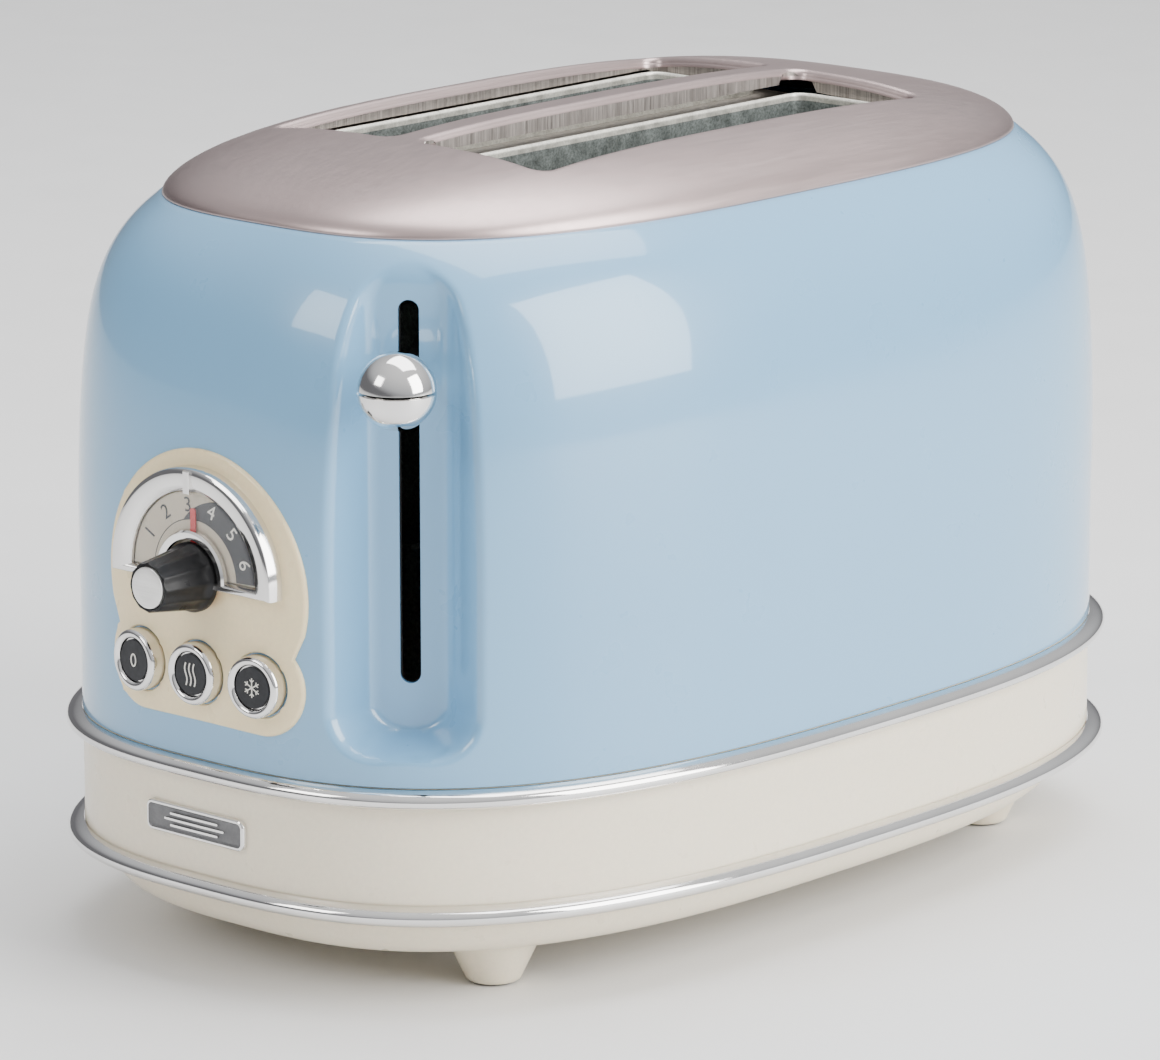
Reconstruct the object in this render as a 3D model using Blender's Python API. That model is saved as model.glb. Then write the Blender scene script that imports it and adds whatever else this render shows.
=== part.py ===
"""Two-slot pop-up toaster, built as the pieces it comes apart into.

Lengths are metres, +Z is up and the toaster stands on Z = 0. The bread slots run along Y, the
controls are at the -Y end and the lift lever is on their +X side. Every piece is drawn in the
body's own coordinates, whose Y = 0 is the middle of the housing, and hangs from one frame empty
that centres the whole toaster, with its protruding knob, on the origin.
"""
import math

import bmesh
import bpy
from mathutils import Matrix, Vector

# ---------------------------------------------------------------- driving dimensions
GAP = 0.0003                    # between pieces that touch
RUNNING_GAP = 0.001             # between pieces that move past each other

# Plan outline of the housing: |x/a|^n + |y/b|^n = 1
BAND_HALF_WIDTH = 0.0983
BAND_HALF_LENGTH = 0.155
PLAN_POWER = 2.8
PLAN_POINTS = 44

# Heights of the housing, from the floor up
FOOT_HEIGHT = 0.0125            # underside of the base pan
LOWER_RING_Z = 0.0269
UPPER_RING_Z = 0.05795
RING_HALF_HEIGHT = 0.0027
RING_PROUD = 0.004
BORDER_Z = 0.1994               # where the shell ends and the top plate starts
DOME_HEIGHT = 0.0175            # top plate above the border

# Outer shell
SHELL_WALL = 0.0012
SHELL_OVER_BAND = 0.001         # how much wider than the band the shell starts
SHELL_DRAFT = 0.0008
SHOULDER_START_Z = 0.100
SHOULDER_SOFT = 0.0085          # gentle part of the shoulder's draw-in
SHOULDER_TIGHT = 0.0146         # tight part of it, close to the border
SHELL_LEDGE = 0.0055            # flat ledge that the top plate's rim stands on

# Top plate
PLATE_POWER = 3.0
PLATE_WALL = 0.0012
DOME_EDGE_POWER = 3.42
DOME_ROUND_POWER = 0.56
DOME_END_DROP = 0.064           # share of its height that the dome loses towards its ends

# Bread slots
SLOT_BRIDGE = 0.010             # top plate left between the two slots
SLOT_HALF_WIDTH = 0.0218
SLOT_HALF_LENGTH = 0.077
SLOT_CORNER = 0.004
SLOT_FLANGE_BOTTOM_Z = 0.2095

# Slot collar, the inner frame under the top plate, with a throat down from each slot
COLLAR_Z = 0.2053
COLLAR_SHEET = 0.001
COLLAR_STEP = 0.0033            # each throat is this much narrower than its slot, each side
COLLAR_END_STEP = 0.0025        # and this much shorter, each end
COLLAR_BEAD_HEIGHT = 0.003
COLLAR_BEAD_WIDTH = 0.002
THROAT_BOTTOM_Z = 0.189

# Base
BAND_WALL = 0.002
PAN_WALL = 0.002
PAN_LIP_INSET = 0.0012          # flat lip under the band, in from the band's face
PAN_LIP_HEIGHT = 0.0012
PAN_INSET = 0.006               # pan's side where it meets the lip
PAN_FLOOR_INSET = 0.016
FOOT_IN_FROM_SIDE = 0.0443      # foot's middle, in from the band's side
FOOT_IN_FROM_END = 0.0524
FOOT_TOP_RADIUS = 0.012
FOOT_END_RADIUS = 0.0072
PAD_RADIUS = 0.0058
PAD_HEIGHT = 0.0012
SCREW_HEAD_RADIUS = 0.0035
SCREW_HEAD_HEIGHT = 0.002
SCREW_CHAMFER = 0.0007
SCREW_DRIVE_LENGTH = 0.0021     # half the length of the slot in the head
SCREW_DRIVE_WIDTH = 0.0005
SCREW_DRIVE_DEPTH = 0.001
SCREW_SHANK_RADIUS = 0.0016
SCREW_LENGTH = 0.0075
SCREW_HOLE_MARGIN = 0.0004
GLAND_IN_FROM_END = 0.033
GLAND_BORE_RADIUS = 0.0034
GLAND_BODY_RADIUS = 0.006
GLAND_END_RADIUS = 0.0051
GLAND_FLANGE_RADIUS = 0.009
GLAND_FLANGE_HEIGHT = 0.002
GLAND_DROP = 0.007              # how far the gland's collar hangs below the pan

# Badge on the band
BADGE_X = -0.0027
BADGE_Z = 0.0428
BADGE_HALF_LENGTH = 0.018
BADGE_HALF_HEIGHT = 0.0042
BADGE_CORNER = 0.0021
BADGE_THICKNESS = 0.0012

# Crumb tray, which slides out of the back of the band
TRAY_SIDE_ROOM = 0.0115          # from the tray's side to the chassis leg
TRAY_FLOOR_Z = 0.0315
TRAY_DEPTH = 0.0075
TRAY_SHEET = 0.001
TRAY_FRONT_ROOM = 0.003          # from the tray's front wall to the front chassis plate
TRAY_LIP = 0.004
TRAY_PANEL_MARGIN = 0.0015       # panel's edge beyond the tray's lips
TRAY_PANEL_BOTTOM_Z = 0.0308
TRAY_PANEL_TOP_Z = 0.0420
TRAY_PULL_HALF_WIDTH = 0.014
TRAY_PULL_HEIGHT = 0.003
TRAY_PULL_LENGTH = 0.0035
TRAY_TRAVEL_CLEAR = 0.0004       # band's opening around the panel
RAIL_SHEET = 0.001
RAIL_SIDE_GAP = 0.0012

# Chassis
CHASSIS_BEYOND_SLOT = 0.003     # from a slot's end out to the inner face of an end plate
CHASSIS_BEYOND_REFLECTOR = 0.006
CHASSIS_SHEET = 0.001
CHASSIS_TOP_Z = 0.1935
CHASSIS_FOOT_LENGTH = 0.010
CHASSIS_FOOT_INSIDE = 0.0065     # the feet reach this far in and out of the plate's side
CHASSIS_FOOT_OUTSIDE = 0.006
CHASSIS_LEG_WIDTH = 0.010
CHASSIS_CLEAR_TRAY = 0.002
CHASSIS_SHELF_X = (-0.026, 0.004)
CHASSIS_SHELF_LENGTH = 0.017
RACK_WINDOW_HALF_WIDTH = 0.0022
RACK_WINDOW_MARGIN = 0.002       # window beyond the racks' travel, up and down
REFLECTOR_BEHIND_HEATER = 0.005
REFLECTOR_SHEET = 0.0008
REFLECTOR_BOTTOM_Z = 0.0455
HEATER_CARD = 0.001
HEATER_BOTTOM_Z = 0.050
HEATER_TOP_Z = 0.186
HEATER_END_ROOM = 0.0035        # from a card's end to the end plate

# Bread guards, which lean in on the bread as the carriage goes down
GUARD_INSIDE_THROAT = 0.002     # at rest, each guard stands this far inside its throat's wall
GUARD_PIVOT_Z = 0.0475
GUARD_TOP_Z = 0.187
GUARD_END_ROOM = 0.008
GUARD_WIRE = 0.0012
GUARD_BAR_PITCH = 0.0144
GUARD_PIN_RADIUS = 0.001
GUARD_PIN_HOLE_RADIUS = 0.0015

# Lift lever, its recess in the shell and the carriage
LEVER_X = 0.058                 # where the recess's axis meets the shell
LEVER_REFERENCE_Z = 0.140
LEVER_REST_Z = 0.1663
LEVER_DROP = 0.075
LEVER_HIGH_LIFT = 0.014
RECESS_DEPTH = 0.015
RECESS_FLOOR_HALF_WIDTH = 0.010
RECESS_SIDE_SLOPE = 0.75
RECESS_END_SLOPE = 0.25
RECESS_BELOW_SLOT = 0.0127
RECESS_TOP_Z = 0.1945
RECESS_CORNER = 0.008
RECESS_OUTSIDE = 0.008
LEVER_SLOT_HALF_WIDTH = 0.0027
LEVER_SLOT_BELOW_ARM = 0.0036   # slot left below the arm at the bottom of its travel
LEVER_SLOT_ABOVE_ARM = 0.002
LINER_HALF_WIDTH = 0.0085
LINER_SHEET = 0.0012
LINER_SLOT_HALF_WIDTH = 0.0024
LINER_MARGIN = 0.004
ARM_HALF_THICKNESS = 0.0013
ARM_HALF_HEIGHT = 0.003
ARM_TAB_SHEET = 0.0016
ARM_BEND_BEHIND_SHELL = 0.024
ARM_TAB_X = 0.0155              # middle of the tab on the carriage plate
ARM_TAB_HALF_WIDTH = 0.0075
ARM_TAB_HALF_HEIGHT = 0.006
BALL_RADIUS = 0.0101
BALL_OUT = 0.007                # ball's centre outside the shell
BALL_SEAM = 0.0004
BALL_POLE_ANGLE = 84.0          # degrees from the seam to the ball's last ring
CARRIAGE_SHEET = 0.0014
CARRIAGE_GAP = 0.0015           # in front of the front chassis plate
CARRIAGE_HALF_WIDTH = 0.032
CARRIAGE_BELOW_LEVER = 0.055
CARRIAGE_ABOVE_LEVER = 0.008
BLOCK_HALF_WIDTH = 0.0075
BLOCK_HALF_HEIGHT = 0.0085
BLOCK_LENGTH = 0.0145
ROD_X = -0.004
ROD_RADIUS = 0.0022
ROD_OUT = 0.0075                # rod's axis in front of the carriage plate
ROD_SEAT_RADIUS = 0.0045
ROD_SEAT_HEIGHT = 0.003
SPRING_X = -0.020
SPRING_RADIUS = 0.0032
SPRING_WIRE_RADIUS = 0.0005
SPRING_TURNS = 8
SPRING_HOOK_Z = 0.116           # carriage's hook, at rest
SPRING_HOOK_HALF_WIDTH = 0.0035
SPRING_HOOK_SHEET = 0.0015
RACK_SHELF_HALF_WIDTH = 0.006
RACK_SHELF_SHEET = 0.001
RACK_WEB_HEIGHT = 0.007
RACK_WEB_HALF_THICKNESS = 0.0006
RACK_BELOW_LEVER = 0.044
RACK_END_ROOM = 0.0055
ARMATURE_SHEET = 0.0015
ARMATURE_X = 0.012
ARMATURE_HALF_WIDTH = 0.008
ARMATURE_LENGTH = 0.013
MAGNET_HALF_WIDTH = 0.0085
MAGNET_COIL_RADIUS = 0.0068
MAGNET_POLE_RADIUS = 0.0035
MAGNET_YOKE_HEIGHT = 0.0025
MAGNET_POLE_RISE = 0.0015       # pole face above the coil

# Control panel
HUB_Z = 0.1103
FASCIA_BEYOND_DIAL = 0.0069
FASCIA_ARCH_BELOW_HUB = 0.0027
FASCIA_BEYOND_BUTTON = 0.005
FASCIA_LOBE_X = 0.0215
FASCIA_LOBE_Z = 0.0841
FASCIA_ARCH_END = -14.0         # degrees from the level of the arch's centre
FASCIA_LOBE_START = 40.0
FASCIA_PROUD = 0.001
FASCIA_THICKNESS = 0.003
FASCIA_CURVE_DEPTH = 0.018      # deeper than the shell's curve falls back across the fascia
FASCIA_MARGIN = 0.0004
BUTTON_PITCH = 0.0213
BUTTON_Z = 0.0845
BUTTON_RADIUS = 0.0082
BUTTON_PROUD = 0.0038
BUTTON_EDGE_ROUND = 0.0016
BUTTON_HOLE_MARGIN = 0.0004
BUTTON_RIM = 0.0027             # chrome left round the disc
BUTTON_DISC_DEPTH = 0.001
BUTTON_STEM_RADIUS = 0.003
BUTTON_SKIRT = 0.0055           # cap's depth behind the fascia's face
BUTTON_TRAVEL = 0.0025
DIAL_OUTER_RADIUS = 0.0288
DIAL_RIM = 0.0063
HUB_RING_OUTER_RADIUS = 0.0123
HUB_RING_INNER_RADIUS = 0.0098
DIAL_BAR_HEIGHT = 0.0022
DIAL_FACE_SHEET = 0.0005
DIAL_POINTER_SHEET = 0.0004
DIAL_WINDOW_SHEET = 0.0008
DIAL_LAYER_GAP = 0.0004
DIAL_RIM_OVER_WINDOW = 0.0006
INDEX_HALF_WIDTH = 0.0011
INDEX_RISE = 0.0007
POINTER_DISC_RADIUS = 0.0084
POINTER_TIP_ROOM = 0.0045       # from the needle's tip to the dial's rim
POINTER_HALF_WIDTH = 0.0009
KNOB_BASE_RADIUS = 0.0092
KNOB_FRONT_RADIUS = 0.0067
KNOB_FLUTES = 12
KNOB_FLUTE_DEPTH = 0.0003
KNOB_FRONT_FROM_FASCIA = 0.0185
KNOB_CAP_RADIUS = 0.0055
KNOB_CAP_DEPTH = 0.0012
SHAFT_RADIUS = 0.0028
SHAFT_FROM_KNOB_FRONT = 0.0048
POT_RADIUS = 0.008
POT_LENGTH = 0.0085
SHAFT_INTO_POT = 0.006
POT_FRONT_DEPTH = 0.0065        # its front face behind the fascia's face
BOARD_THICKNESS = 0.0016
BOARD_HALF_WIDTH = 0.033
BOARD_BOTTOM_Z = 0.068
BOARD_TOP_Z = 0.122
SWITCH_HALF_SIZE = 0.003
BOARD_SPACER_RADIUS = 0.002

# ---------------------------------------------------------------- values worked out from them
SHELL_HALF_WIDTH = BAND_HALF_WIDTH + SHELL_OVER_BAND
SHELL_HALF_LENGTH = BAND_HALF_LENGTH + SHELL_OVER_BAND
PLATE_INSET = SHELL_DRAFT + SHOULDER_SOFT + SHOULDER_TIGHT
PLATE_HALF_WIDTH = SHELL_HALF_WIDTH - PLATE_INSET
PLATE_HALF_LENGTH = SHELL_HALF_LENGTH - PLATE_INSET
SLOT_X = SLOT_BRIDGE / 2.0 + SLOT_HALF_WIDTH
THROAT_HALF_WIDTH = SLOT_HALF_WIDTH - COLLAR_STEP
THROAT_HALF_LENGTH = SLOT_HALF_LENGTH - COLLAR_END_STEP
GUARD_HALF_SPACING = THROAT_HALF_WIDTH - GUARD_INSIDE_THROAT  # from the middle of a slot at rest
HEATER_X = 2.0 * SLOT_X                                       # each slot has a heater on both sides
REFLECTOR_X = HEATER_X + REFLECTOR_BEHIND_HEATER
CHASSIS_HALF_WIDTH = REFLECTOR_X + CHASSIS_BEYOND_REFLECTOR
CHASSIS_Y = SLOT_HALF_LENGTH + CHASSIS_BEYOND_SLOT            # inner faces of the two end plates
CHASSIS_FOOT_INNER_X = CHASSIS_HALF_WIDTH - CHASSIS_FOOT_INSIDE
CHASSIS_FOOT_OUTER_X = CHASSIS_HALF_WIDTH + CHASSIS_FOOT_OUTSIDE
CHASSIS_LEG_INNER_X = CHASSIS_HALF_WIDTH - CHASSIS_LEG_WIDTH
HEATER_HALF_LENGTH = CHASSIS_Y - HEATER_END_ROOM
GUARD_HALF_LENGTH = CHASSIS_Y - GUARD_END_ROOM
RACK_SHELF_HALF_LENGTH = CHASSIS_Y - RACK_END_ROOM
TRAY_HALF_WIDTH = CHASSIS_LEG_INNER_X - TRAY_SIDE_ROOM
TRAY_FRONT_Y = -(CHASSIS_Y - TRAY_FRONT_ROOM)
FOOT_X = BAND_HALF_WIDTH - FOOT_IN_FROM_SIDE
FOOT_Y = BAND_HALF_LENGTH - FOOT_IN_FROM_END
GLAND_Y = BAND_HALF_LENGTH - GLAND_IN_FROM_END
LEVER_SLOT_BOTTOM_Z = LEVER_REST_Z - LEVER_DROP - ARM_HALF_HEIGHT - LEVER_SLOT_BELOW_ARM
LEVER_SLOT_TOP_Z = LEVER_REST_Z + LEVER_HIGH_LIFT + ARM_HALF_HEIGHT + LEVER_SLOT_ABOVE_ARM
RECESS_BOTTOM_Z = LEVER_SLOT_BOTTOM_Z - RECESS_BELOW_SLOT
FASCIA_ARCH_RADIUS = DIAL_OUTER_RADIUS + FASCIA_BEYOND_DIAL
FASCIA_LOBE_RADIUS = BUTTON_RADIUS + FASCIA_BEYOND_BUTTON
BUTTON_DISC_RADIUS = BUTTON_RADIUS - BUTTON_RIM
DIAL_INNER_RADIUS = DIAL_OUTER_RADIUS - DIAL_RIM
POINTER_TIP_RADIUS = DIAL_INNER_RADIUS - POINTER_TIP_ROOM
BUTTONS = (("cancel", -BUTTON_PITCH), ("reheat", 0.0), ("defrost", BUTTON_PITCH))
SHELL_BOTTOM_Z = UPPER_RING_Z + RING_HALF_HEIGHT + GAP
SHELL_TOP_Z = BORDER_Z - GAP
BAND_BOTTOM_Z = LOWER_RING_Z - RING_HALF_HEIGHT + GAP
BAND_TOP_Z = SHELL_BOTTOM_Z - GAP
PAN_TOP_Z = BAND_BOTTOM_Z - GAP
PAN_FLOOR_Z = FOOT_HEIGHT + PAN_WALL
SCREW_HEAD_BOTTOM_Z = FOOT_HEIGHT - GAP - SCREW_HEAD_HEIGHT
CARRIAGE_Y = -(CHASSIS_Y + CHASSIS_SHEET + CARRIAGE_GAP)      # back face of the carriage plate
CARRIAGE_FRONT_Y = CARRIAGE_Y - CARRIAGE_SHEET
ROD_Y = CARRIAGE_FRONT_Y - ROD_OUT
CARRIAGE_BOTTOM_Z = LEVER_REST_Z - CARRIAGE_BELOW_LEVER
RACK_SHELF_Z = LEVER_REST_Z - RACK_BELOW_LEVER
RACK_BOTTOM_Z = RACK_SHELF_Z - RACK_WEB_HEIGHT
CHASSIS_BOTTOM_Z = PAN_FLOOR_Z + GAP
SHELF_Z = CHASSIS_TOP_Z - 2.0 * CHASSIS_SHEET                 # forward shelf that holds the rod
COLLAR_BOTTOM_Z = CHASSIS_TOP_Z + GAP
SCREW_Y = CHASSIS_Y + CHASSIS_SHEET + CHASSIS_FOOT_LENGTH / 2.0
SCREW_X = (CHASSIS_FOOT_INNER_X + CHASSIS_FOOT_OUTER_X) / 2.0
TRAY_TOP_Z = TRAY_FLOOR_Z + TRAY_DEPTH
TRAY_LIP_X = TRAY_HALF_WIDTH + TRAY_LIP
TRAY_PANEL_HALF_WIDTH = TRAY_LIP_X + TRAY_PANEL_MARGIN
REAR_OPENING_TOP_Z = TRAY_TOP_Z + CHASSIS_CLEAR_TRAY
ARMATURE_Z = CARRIAGE_BOTTOM_Z - ARMATURE_SHEET - GAP
MAGNET_TOP_Z = ARMATURE_Z - LEVER_DROP - GAP


def shoulder_inset(z):
    """How far the shell's outline has drawn in from its widest by height z."""
    rise = max(0.0, (z - SHOULDER_START_Z) / (BORDER_Z - SHOULDER_START_Z))
    return SHELL_DRAFT + SHOULDER_SOFT * rise ** 2 + SHOULDER_TIGHT * rise ** 8


def plan_power(z):
    """The outline squares up slightly towards the top plate."""
    rise = max(0.0, (z - SHOULDER_START_Z) / (BORDER_Z - SHOULDER_START_Z))
    return PLAN_POWER + (PLATE_POWER - PLAN_POWER) * rise


def outline_y(x, half_width, half_length, power):
    """Positive Y of the outline at a given X."""
    return half_length * (1.0 - (abs(x) / half_width) ** power) ** (1.0 / power)


def shell_front_y(x, z, offset=0.0):
    """Y of the shell's front surface, offset outwards."""
    inset = shoulder_inset(z) - offset
    return -outline_y(x, SHELL_HALF_WIDTH - inset, SHELL_HALF_LENGTH - inset, plan_power(z))


def front_normal_angle(x, z):
    """Angle of the shell's horizontal normal, from -Y towards +X."""
    inset = shoulder_inset(z)
    half_width = SHELL_HALF_WIDTH - inset
    half_length = SHELL_HALF_LENGTH - inset
    power = plan_power(z)
    along_x = (abs(x) / half_width) ** (power - 1.0) / half_width
    along_y = (abs(shell_front_y(x, z)) / half_length) ** (power - 1.0) / half_length
    return math.copysign(math.atan2(along_x, along_y), x)


HUB_FACE_Y = shell_front_y(0.0, HUB_Z, FASCIA_PROUD)          # fascia's face at the hub
DIAL_FACE_Y = HUB_FACE_Y - GAP                                # back of the dial face
POINTER_BACK_Y = DIAL_FACE_Y - DIAL_FACE_SHEET - DIAL_LAYER_GAP
HUB_RING_BACK_Y = POINTER_BACK_Y - DIAL_POINTER_SHEET - DIAL_LAYER_GAP
WINDOW_BACK_Y = HUB_RING_BACK_Y
BEZEL_FRONT_Y = WINDOW_BACK_Y - DIAL_WINDOW_SHEET - DIAL_RIM_OVER_WINDOW
KNOB_FRONT_Y = HUB_FACE_Y - KNOB_FRONT_FROM_FASCIA
KNOB_BACK_Y = POINTER_BACK_Y - DIAL_POINTER_SHEET - GAP
POT_FRONT_Y = HUB_FACE_Y + POT_FRONT_DEPTH
BOARD_FRONT_Y = POT_FRONT_Y + POT_LENGTH + GAP
LEVER_ANGLE = front_normal_angle(LEVER_X, LEVER_REFERENCE_Z)
LEVER_POINT = Vector((LEVER_X, shell_front_y(LEVER_X, LEVER_REFERENCE_Z), 0.0))
REAR_EXTENT = BAND_HALF_LENGTH + GAP + RING_PROUD
FRAME_SHIFT_Y = (-KNOB_FRONT_Y - REAR_EXTENT) / 2.0           # centres the whole length on Y = 0


# ---------------------------------------------------------------- materials
def material(name, colour, roughness, metallic=0.0, alpha=1.0):
    """One Principled material; returns the existing one on a second call."""
    if name in bpy.data.materials:
        return bpy.data.materials[name]
    made = bpy.data.materials.new(name)
    made.use_nodes = True
    shader = made.node_tree.nodes["Principled BSDF"]
    shader.inputs["Base Color"].default_value = (*colour, 1.0)
    shader.inputs["Roughness"].default_value = roughness
    shader.inputs["Metallic"].default_value = metallic
    shader.inputs["Alpha"].default_value = alpha
    made.diffuse_color = (*colour, alpha)
    return made


def enamel_blue():
    return material("enamel_blue", (0.36, 0.58, 0.72), 0.18)


def cream_plastic():
    return material("cream_plastic", (0.82, 0.78, 0.66), 0.3)


def warm_cream():
    return material("warm_cream", (0.83, 0.74, 0.55), 0.35)


def chrome():
    return material("chrome", (0.8, 0.8, 0.8), 0.06, 1.0)


def brushed_steel():
    return material("brushed_steel", (0.52, 0.48, 0.46), 0.3, 1.0)


def galvanised_steel():
    return material("galvanised_steel", (0.42, 0.45, 0.44), 0.45, 1.0)


def black_plastic():
    return material("black_plastic", (0.012, 0.012, 0.013), 0.35)


def dark_grey_plastic():
    return material("dark_grey_plastic", (0.05, 0.05, 0.055), 0.5)


def silver_cap():
    return material("silver_cap", (0.72, 0.72, 0.7), 0.4, 0.6)


def pointer_red():
    return material("pointer_red", (0.6, 0.04, 0.05), 0.4)


def clear_window():
    return material("clear_window", (0.9, 0.92, 0.92), 0.05, 0.0, 0.3)


def mica():
    return material("mica", (0.45, 0.36, 0.26), 0.6)


def rubber():
    return material("rubber", (0.03, 0.03, 0.03), 0.8)


def board_green():
    return material("board_green", (0.05, 0.17, 0.09), 0.5)


# ---------------------------------------------------------------- mesh helpers
def add_object(name, bm, finish=None, origin=(0.0, 0.0, 0.0), smooth=None):
    """Make an object of a bmesh drawn in body coordinates, with its origin where asked."""
    bmesh.ops.recalc_face_normals(bm, faces=bm.faces)
    mesh = bpy.data.meshes.new(name)
    bm.to_mesh(mesh)
    bm.free()
    mesh.transform(Matrix.Translation(-Vector(origin)))
    if smooth is not None:
        mesh.shade_smooth()
        mesh.set_sharp_from_angle(angle=math.radians(smooth))
    made = bpy.data.objects.new(name, mesh)
    bpy.context.collection.objects.link(made)
    made.location = origin
    if finish is not None:
        mesh.materials.append(finish)
    return made


def loft(rings):
    """Closed solid through rings of equally many points, with flat caps."""
    bm = bmesh.new()
    loops = [[bm.verts.new(point) for point in ring] for ring in rings]
    count = len(loops[0])
    for low, high in zip(loops, loops[1:]):
        for i in range(count):
            j = (i + 1) % count
            bm.faces.new((low[i], low[j], high[j], high[i]))
    bm.faces.new(reversed(loops[0]))
    bm.faces.new(loops[-1])
    return bm


def prism_z(outline, low, high):
    """Solid standing on an XY outline."""
    return loft([[(x, y, z) for x, y in outline] for z in (low, high)])


def prism_y(outline, front, back):
    """Solid along Y through an XZ outline."""
    return loft([[(x, y, z) for x, z in outline] for y in (front, back)])


def box(low, high):
    return prism_z(rectangle(low[0], low[1], high[0], high[1]), low[2], high[2])


def rectangle(x0, y0, x1, y1):
    return [(x0, y0), (x1, y0), (x1, y1), (x0, y1)]


def arc(centre, radius, start, end, steps):
    """Points along an arc, both ends included; angles in degrees."""
    angles = [math.radians(start + (end - start) * i / steps) for i in range(steps + 1)]
    return [(centre[0] + radius * math.cos(a), centre[1] + radius * math.sin(a)) for a in angles]


def circle(centre, radius, sides):
    return arc(centre, radius, 0.0, 360.0, sides)[:-1]


def stadium(half_width, low, high, sides=8):
    """Upright slot outline with round ends."""
    return (arc((0.0, high - half_width), half_width, 0.0, 180.0, sides)
            + arc((0.0, low + half_width), half_width, 180.0, 360.0, sides))


def rounded_rectangle(x0, y0, x1, y1, radius, steps=3):
    corners = (((x1 - radius, y1 - radius), 0), ((x0 + radius, y1 - radius), 90),
               ((x0 + radius, y0 + radius), 180), ((x1 - radius, y0 + radius), 270))
    points = []
    for centre, start in corners:
        points += arc(centre, radius, start, start + 90, steps)
    return points


def tube_z(centre, radius, low, high, sides=16):
    return prism_z(circle(centre, radius, sides), low, high)


def tube_y(centre, radius, front, back, sides=12):
    """Round bar along Y, about (x, z)."""
    return prism_y(circle(centre, radius, sides), front, back)


def plan_ring(half_width, half_length, power, z, points=PLAN_POINTS):
    """One ring of the housing's plan outline."""
    ring = []
    for i in range(points):
        angle = 2.0 * math.pi * i / points
        c, s = math.cos(angle), math.sin(angle)
        reach = (abs(c) ** power + abs(s) ** power) ** (-1.0 / power)
        ring.append((half_width * reach * c, half_length * reach * s, z))
    return ring


def band_ring(inset, z, points=PLAN_POINTS):
    return plan_ring(BAND_HALF_WIDTH - inset, BAND_HALF_LENGTH - inset, PLAN_POWER, z, points)


SHELL_LEVELS = (0.0, 0.32, 0.57, 0.74, 0.85, 0.92, 0.967, 1.0)


def shell_solid(offset, bottom, top):
    """The shell's outer form, offset outwards, between two heights."""
    rings = []
    for level in SHELL_LEVELS:
        z = bottom + (top - bottom) * level
        inset = shoulder_inset(z) - offset
        rings.append(plan_ring(SHELL_HALF_WIDTH - inset, SHELL_HALF_LENGTH - inset, plan_power(z), z))
    return loft(rings)


def boolean(target, cutter, operation="DIFFERENCE", solver="EXACT"):
    """Add a Boolean to target, and hide the cutter as a wire guide."""
    modifier = target.modifiers.new(cutter.name, "BOOLEAN")
    modifier.operation = operation
    modifier.solver = solver
    modifier.object = cutter
    cutter.hide_render = True
    cutter.display_type = "WIRE"
    return target


def cut(target, name, bm):
    return boolean(target, add_object(f"cutter_{target.name}_{name}", bm))


def join(target, name, bm):
    return boolean(target, add_object(f"adder_{target.name}_{name}", bm), "UNION")


def turned(profile, centre, sides):
    """Closed solid of revolution about a line along Y through (x, z); profile is (radius, y)."""
    rings = [[(x, y, z) for x, z in circle(centre, radius, sides)] for radius, y in profile]
    return loft(rings)


def to_lever(point):
    """Body position of a point given as (across the slot, outwards, height)."""
    across, out, z = point
    c, s = math.cos(LEVER_ANGLE), math.sin(LEVER_ANGLE)
    return Vector((LEVER_POINT.x + across * c + out * s, LEVER_POINT.y + across * s - out * c, z))


def lever_prism(outline, out_low, out_high):
    """Solid along the lever's outward direction through an (across, height) outline."""
    return loft([[to_lever((u, w, z)) for u, z in outline] for w in (out_low, out_high)])


# ---------------------------------------------------------------- housing
def recess_outline(half_width, low, high, corner):
    """Outline of the lever's recess: round top, softly cornered bottom."""
    return (arc((0.0, high - half_width), half_width, 0.0, 180.0, 10)
            + arc((-half_width + corner, low + corner), corner, 180.0, 270.0, 4)
            + arc((half_width - corner, low + corner), corner, 270.0, 360.0, 4))


def recess_solid(wall):
    """The pressed-in recess, grown by a wall thickness all round."""
    side = wall * math.hypot(1.0, RECESS_SIDE_SLOPE)
    end = wall * math.hypot(1.0, RECESS_END_SLOPE)
    rings = []
    for out in (-RECESS_DEPTH - wall, RECESS_OUTSIDE):
        above_floor = out + RECESS_DEPTH
        half_width = RECESS_FLOOR_HALF_WIDTH + above_floor * RECESS_SIDE_SLOPE + side
        low = RECESS_BOTTOM_Z - above_floor * RECESS_END_SLOPE - end
        high = RECESS_TOP_Z + above_floor * RECESS_END_SLOPE + end
        corner = RECESS_CORNER + above_floor * RECESS_END_SLOPE
        outline = recess_outline(half_width, low, high, corner)
        rings.append([to_lever((u, out, z)) for u, z in outline])
    return loft(rings)


def fascia_outline(margin=0.0):
    """Keyhole-shaped outline of the control fascia, grown by a margin."""
    arch = (0.0, HUB_Z - FASCIA_ARCH_BELOW_HUB)
    lobe = (FASCIA_LOBE_X, FASCIA_LOBE_Z)
    right = (arc(lobe, FASCIA_LOBE_RADIUS + margin, -90.0, FASCIA_LOBE_START, 6)
             + arc(arch, FASCIA_ARCH_RADIUS + margin, FASCIA_ARCH_END, 90.0, 10))
    left = [(-x, z) for x, z in reversed(right[:-1])]
    return right + left


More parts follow.
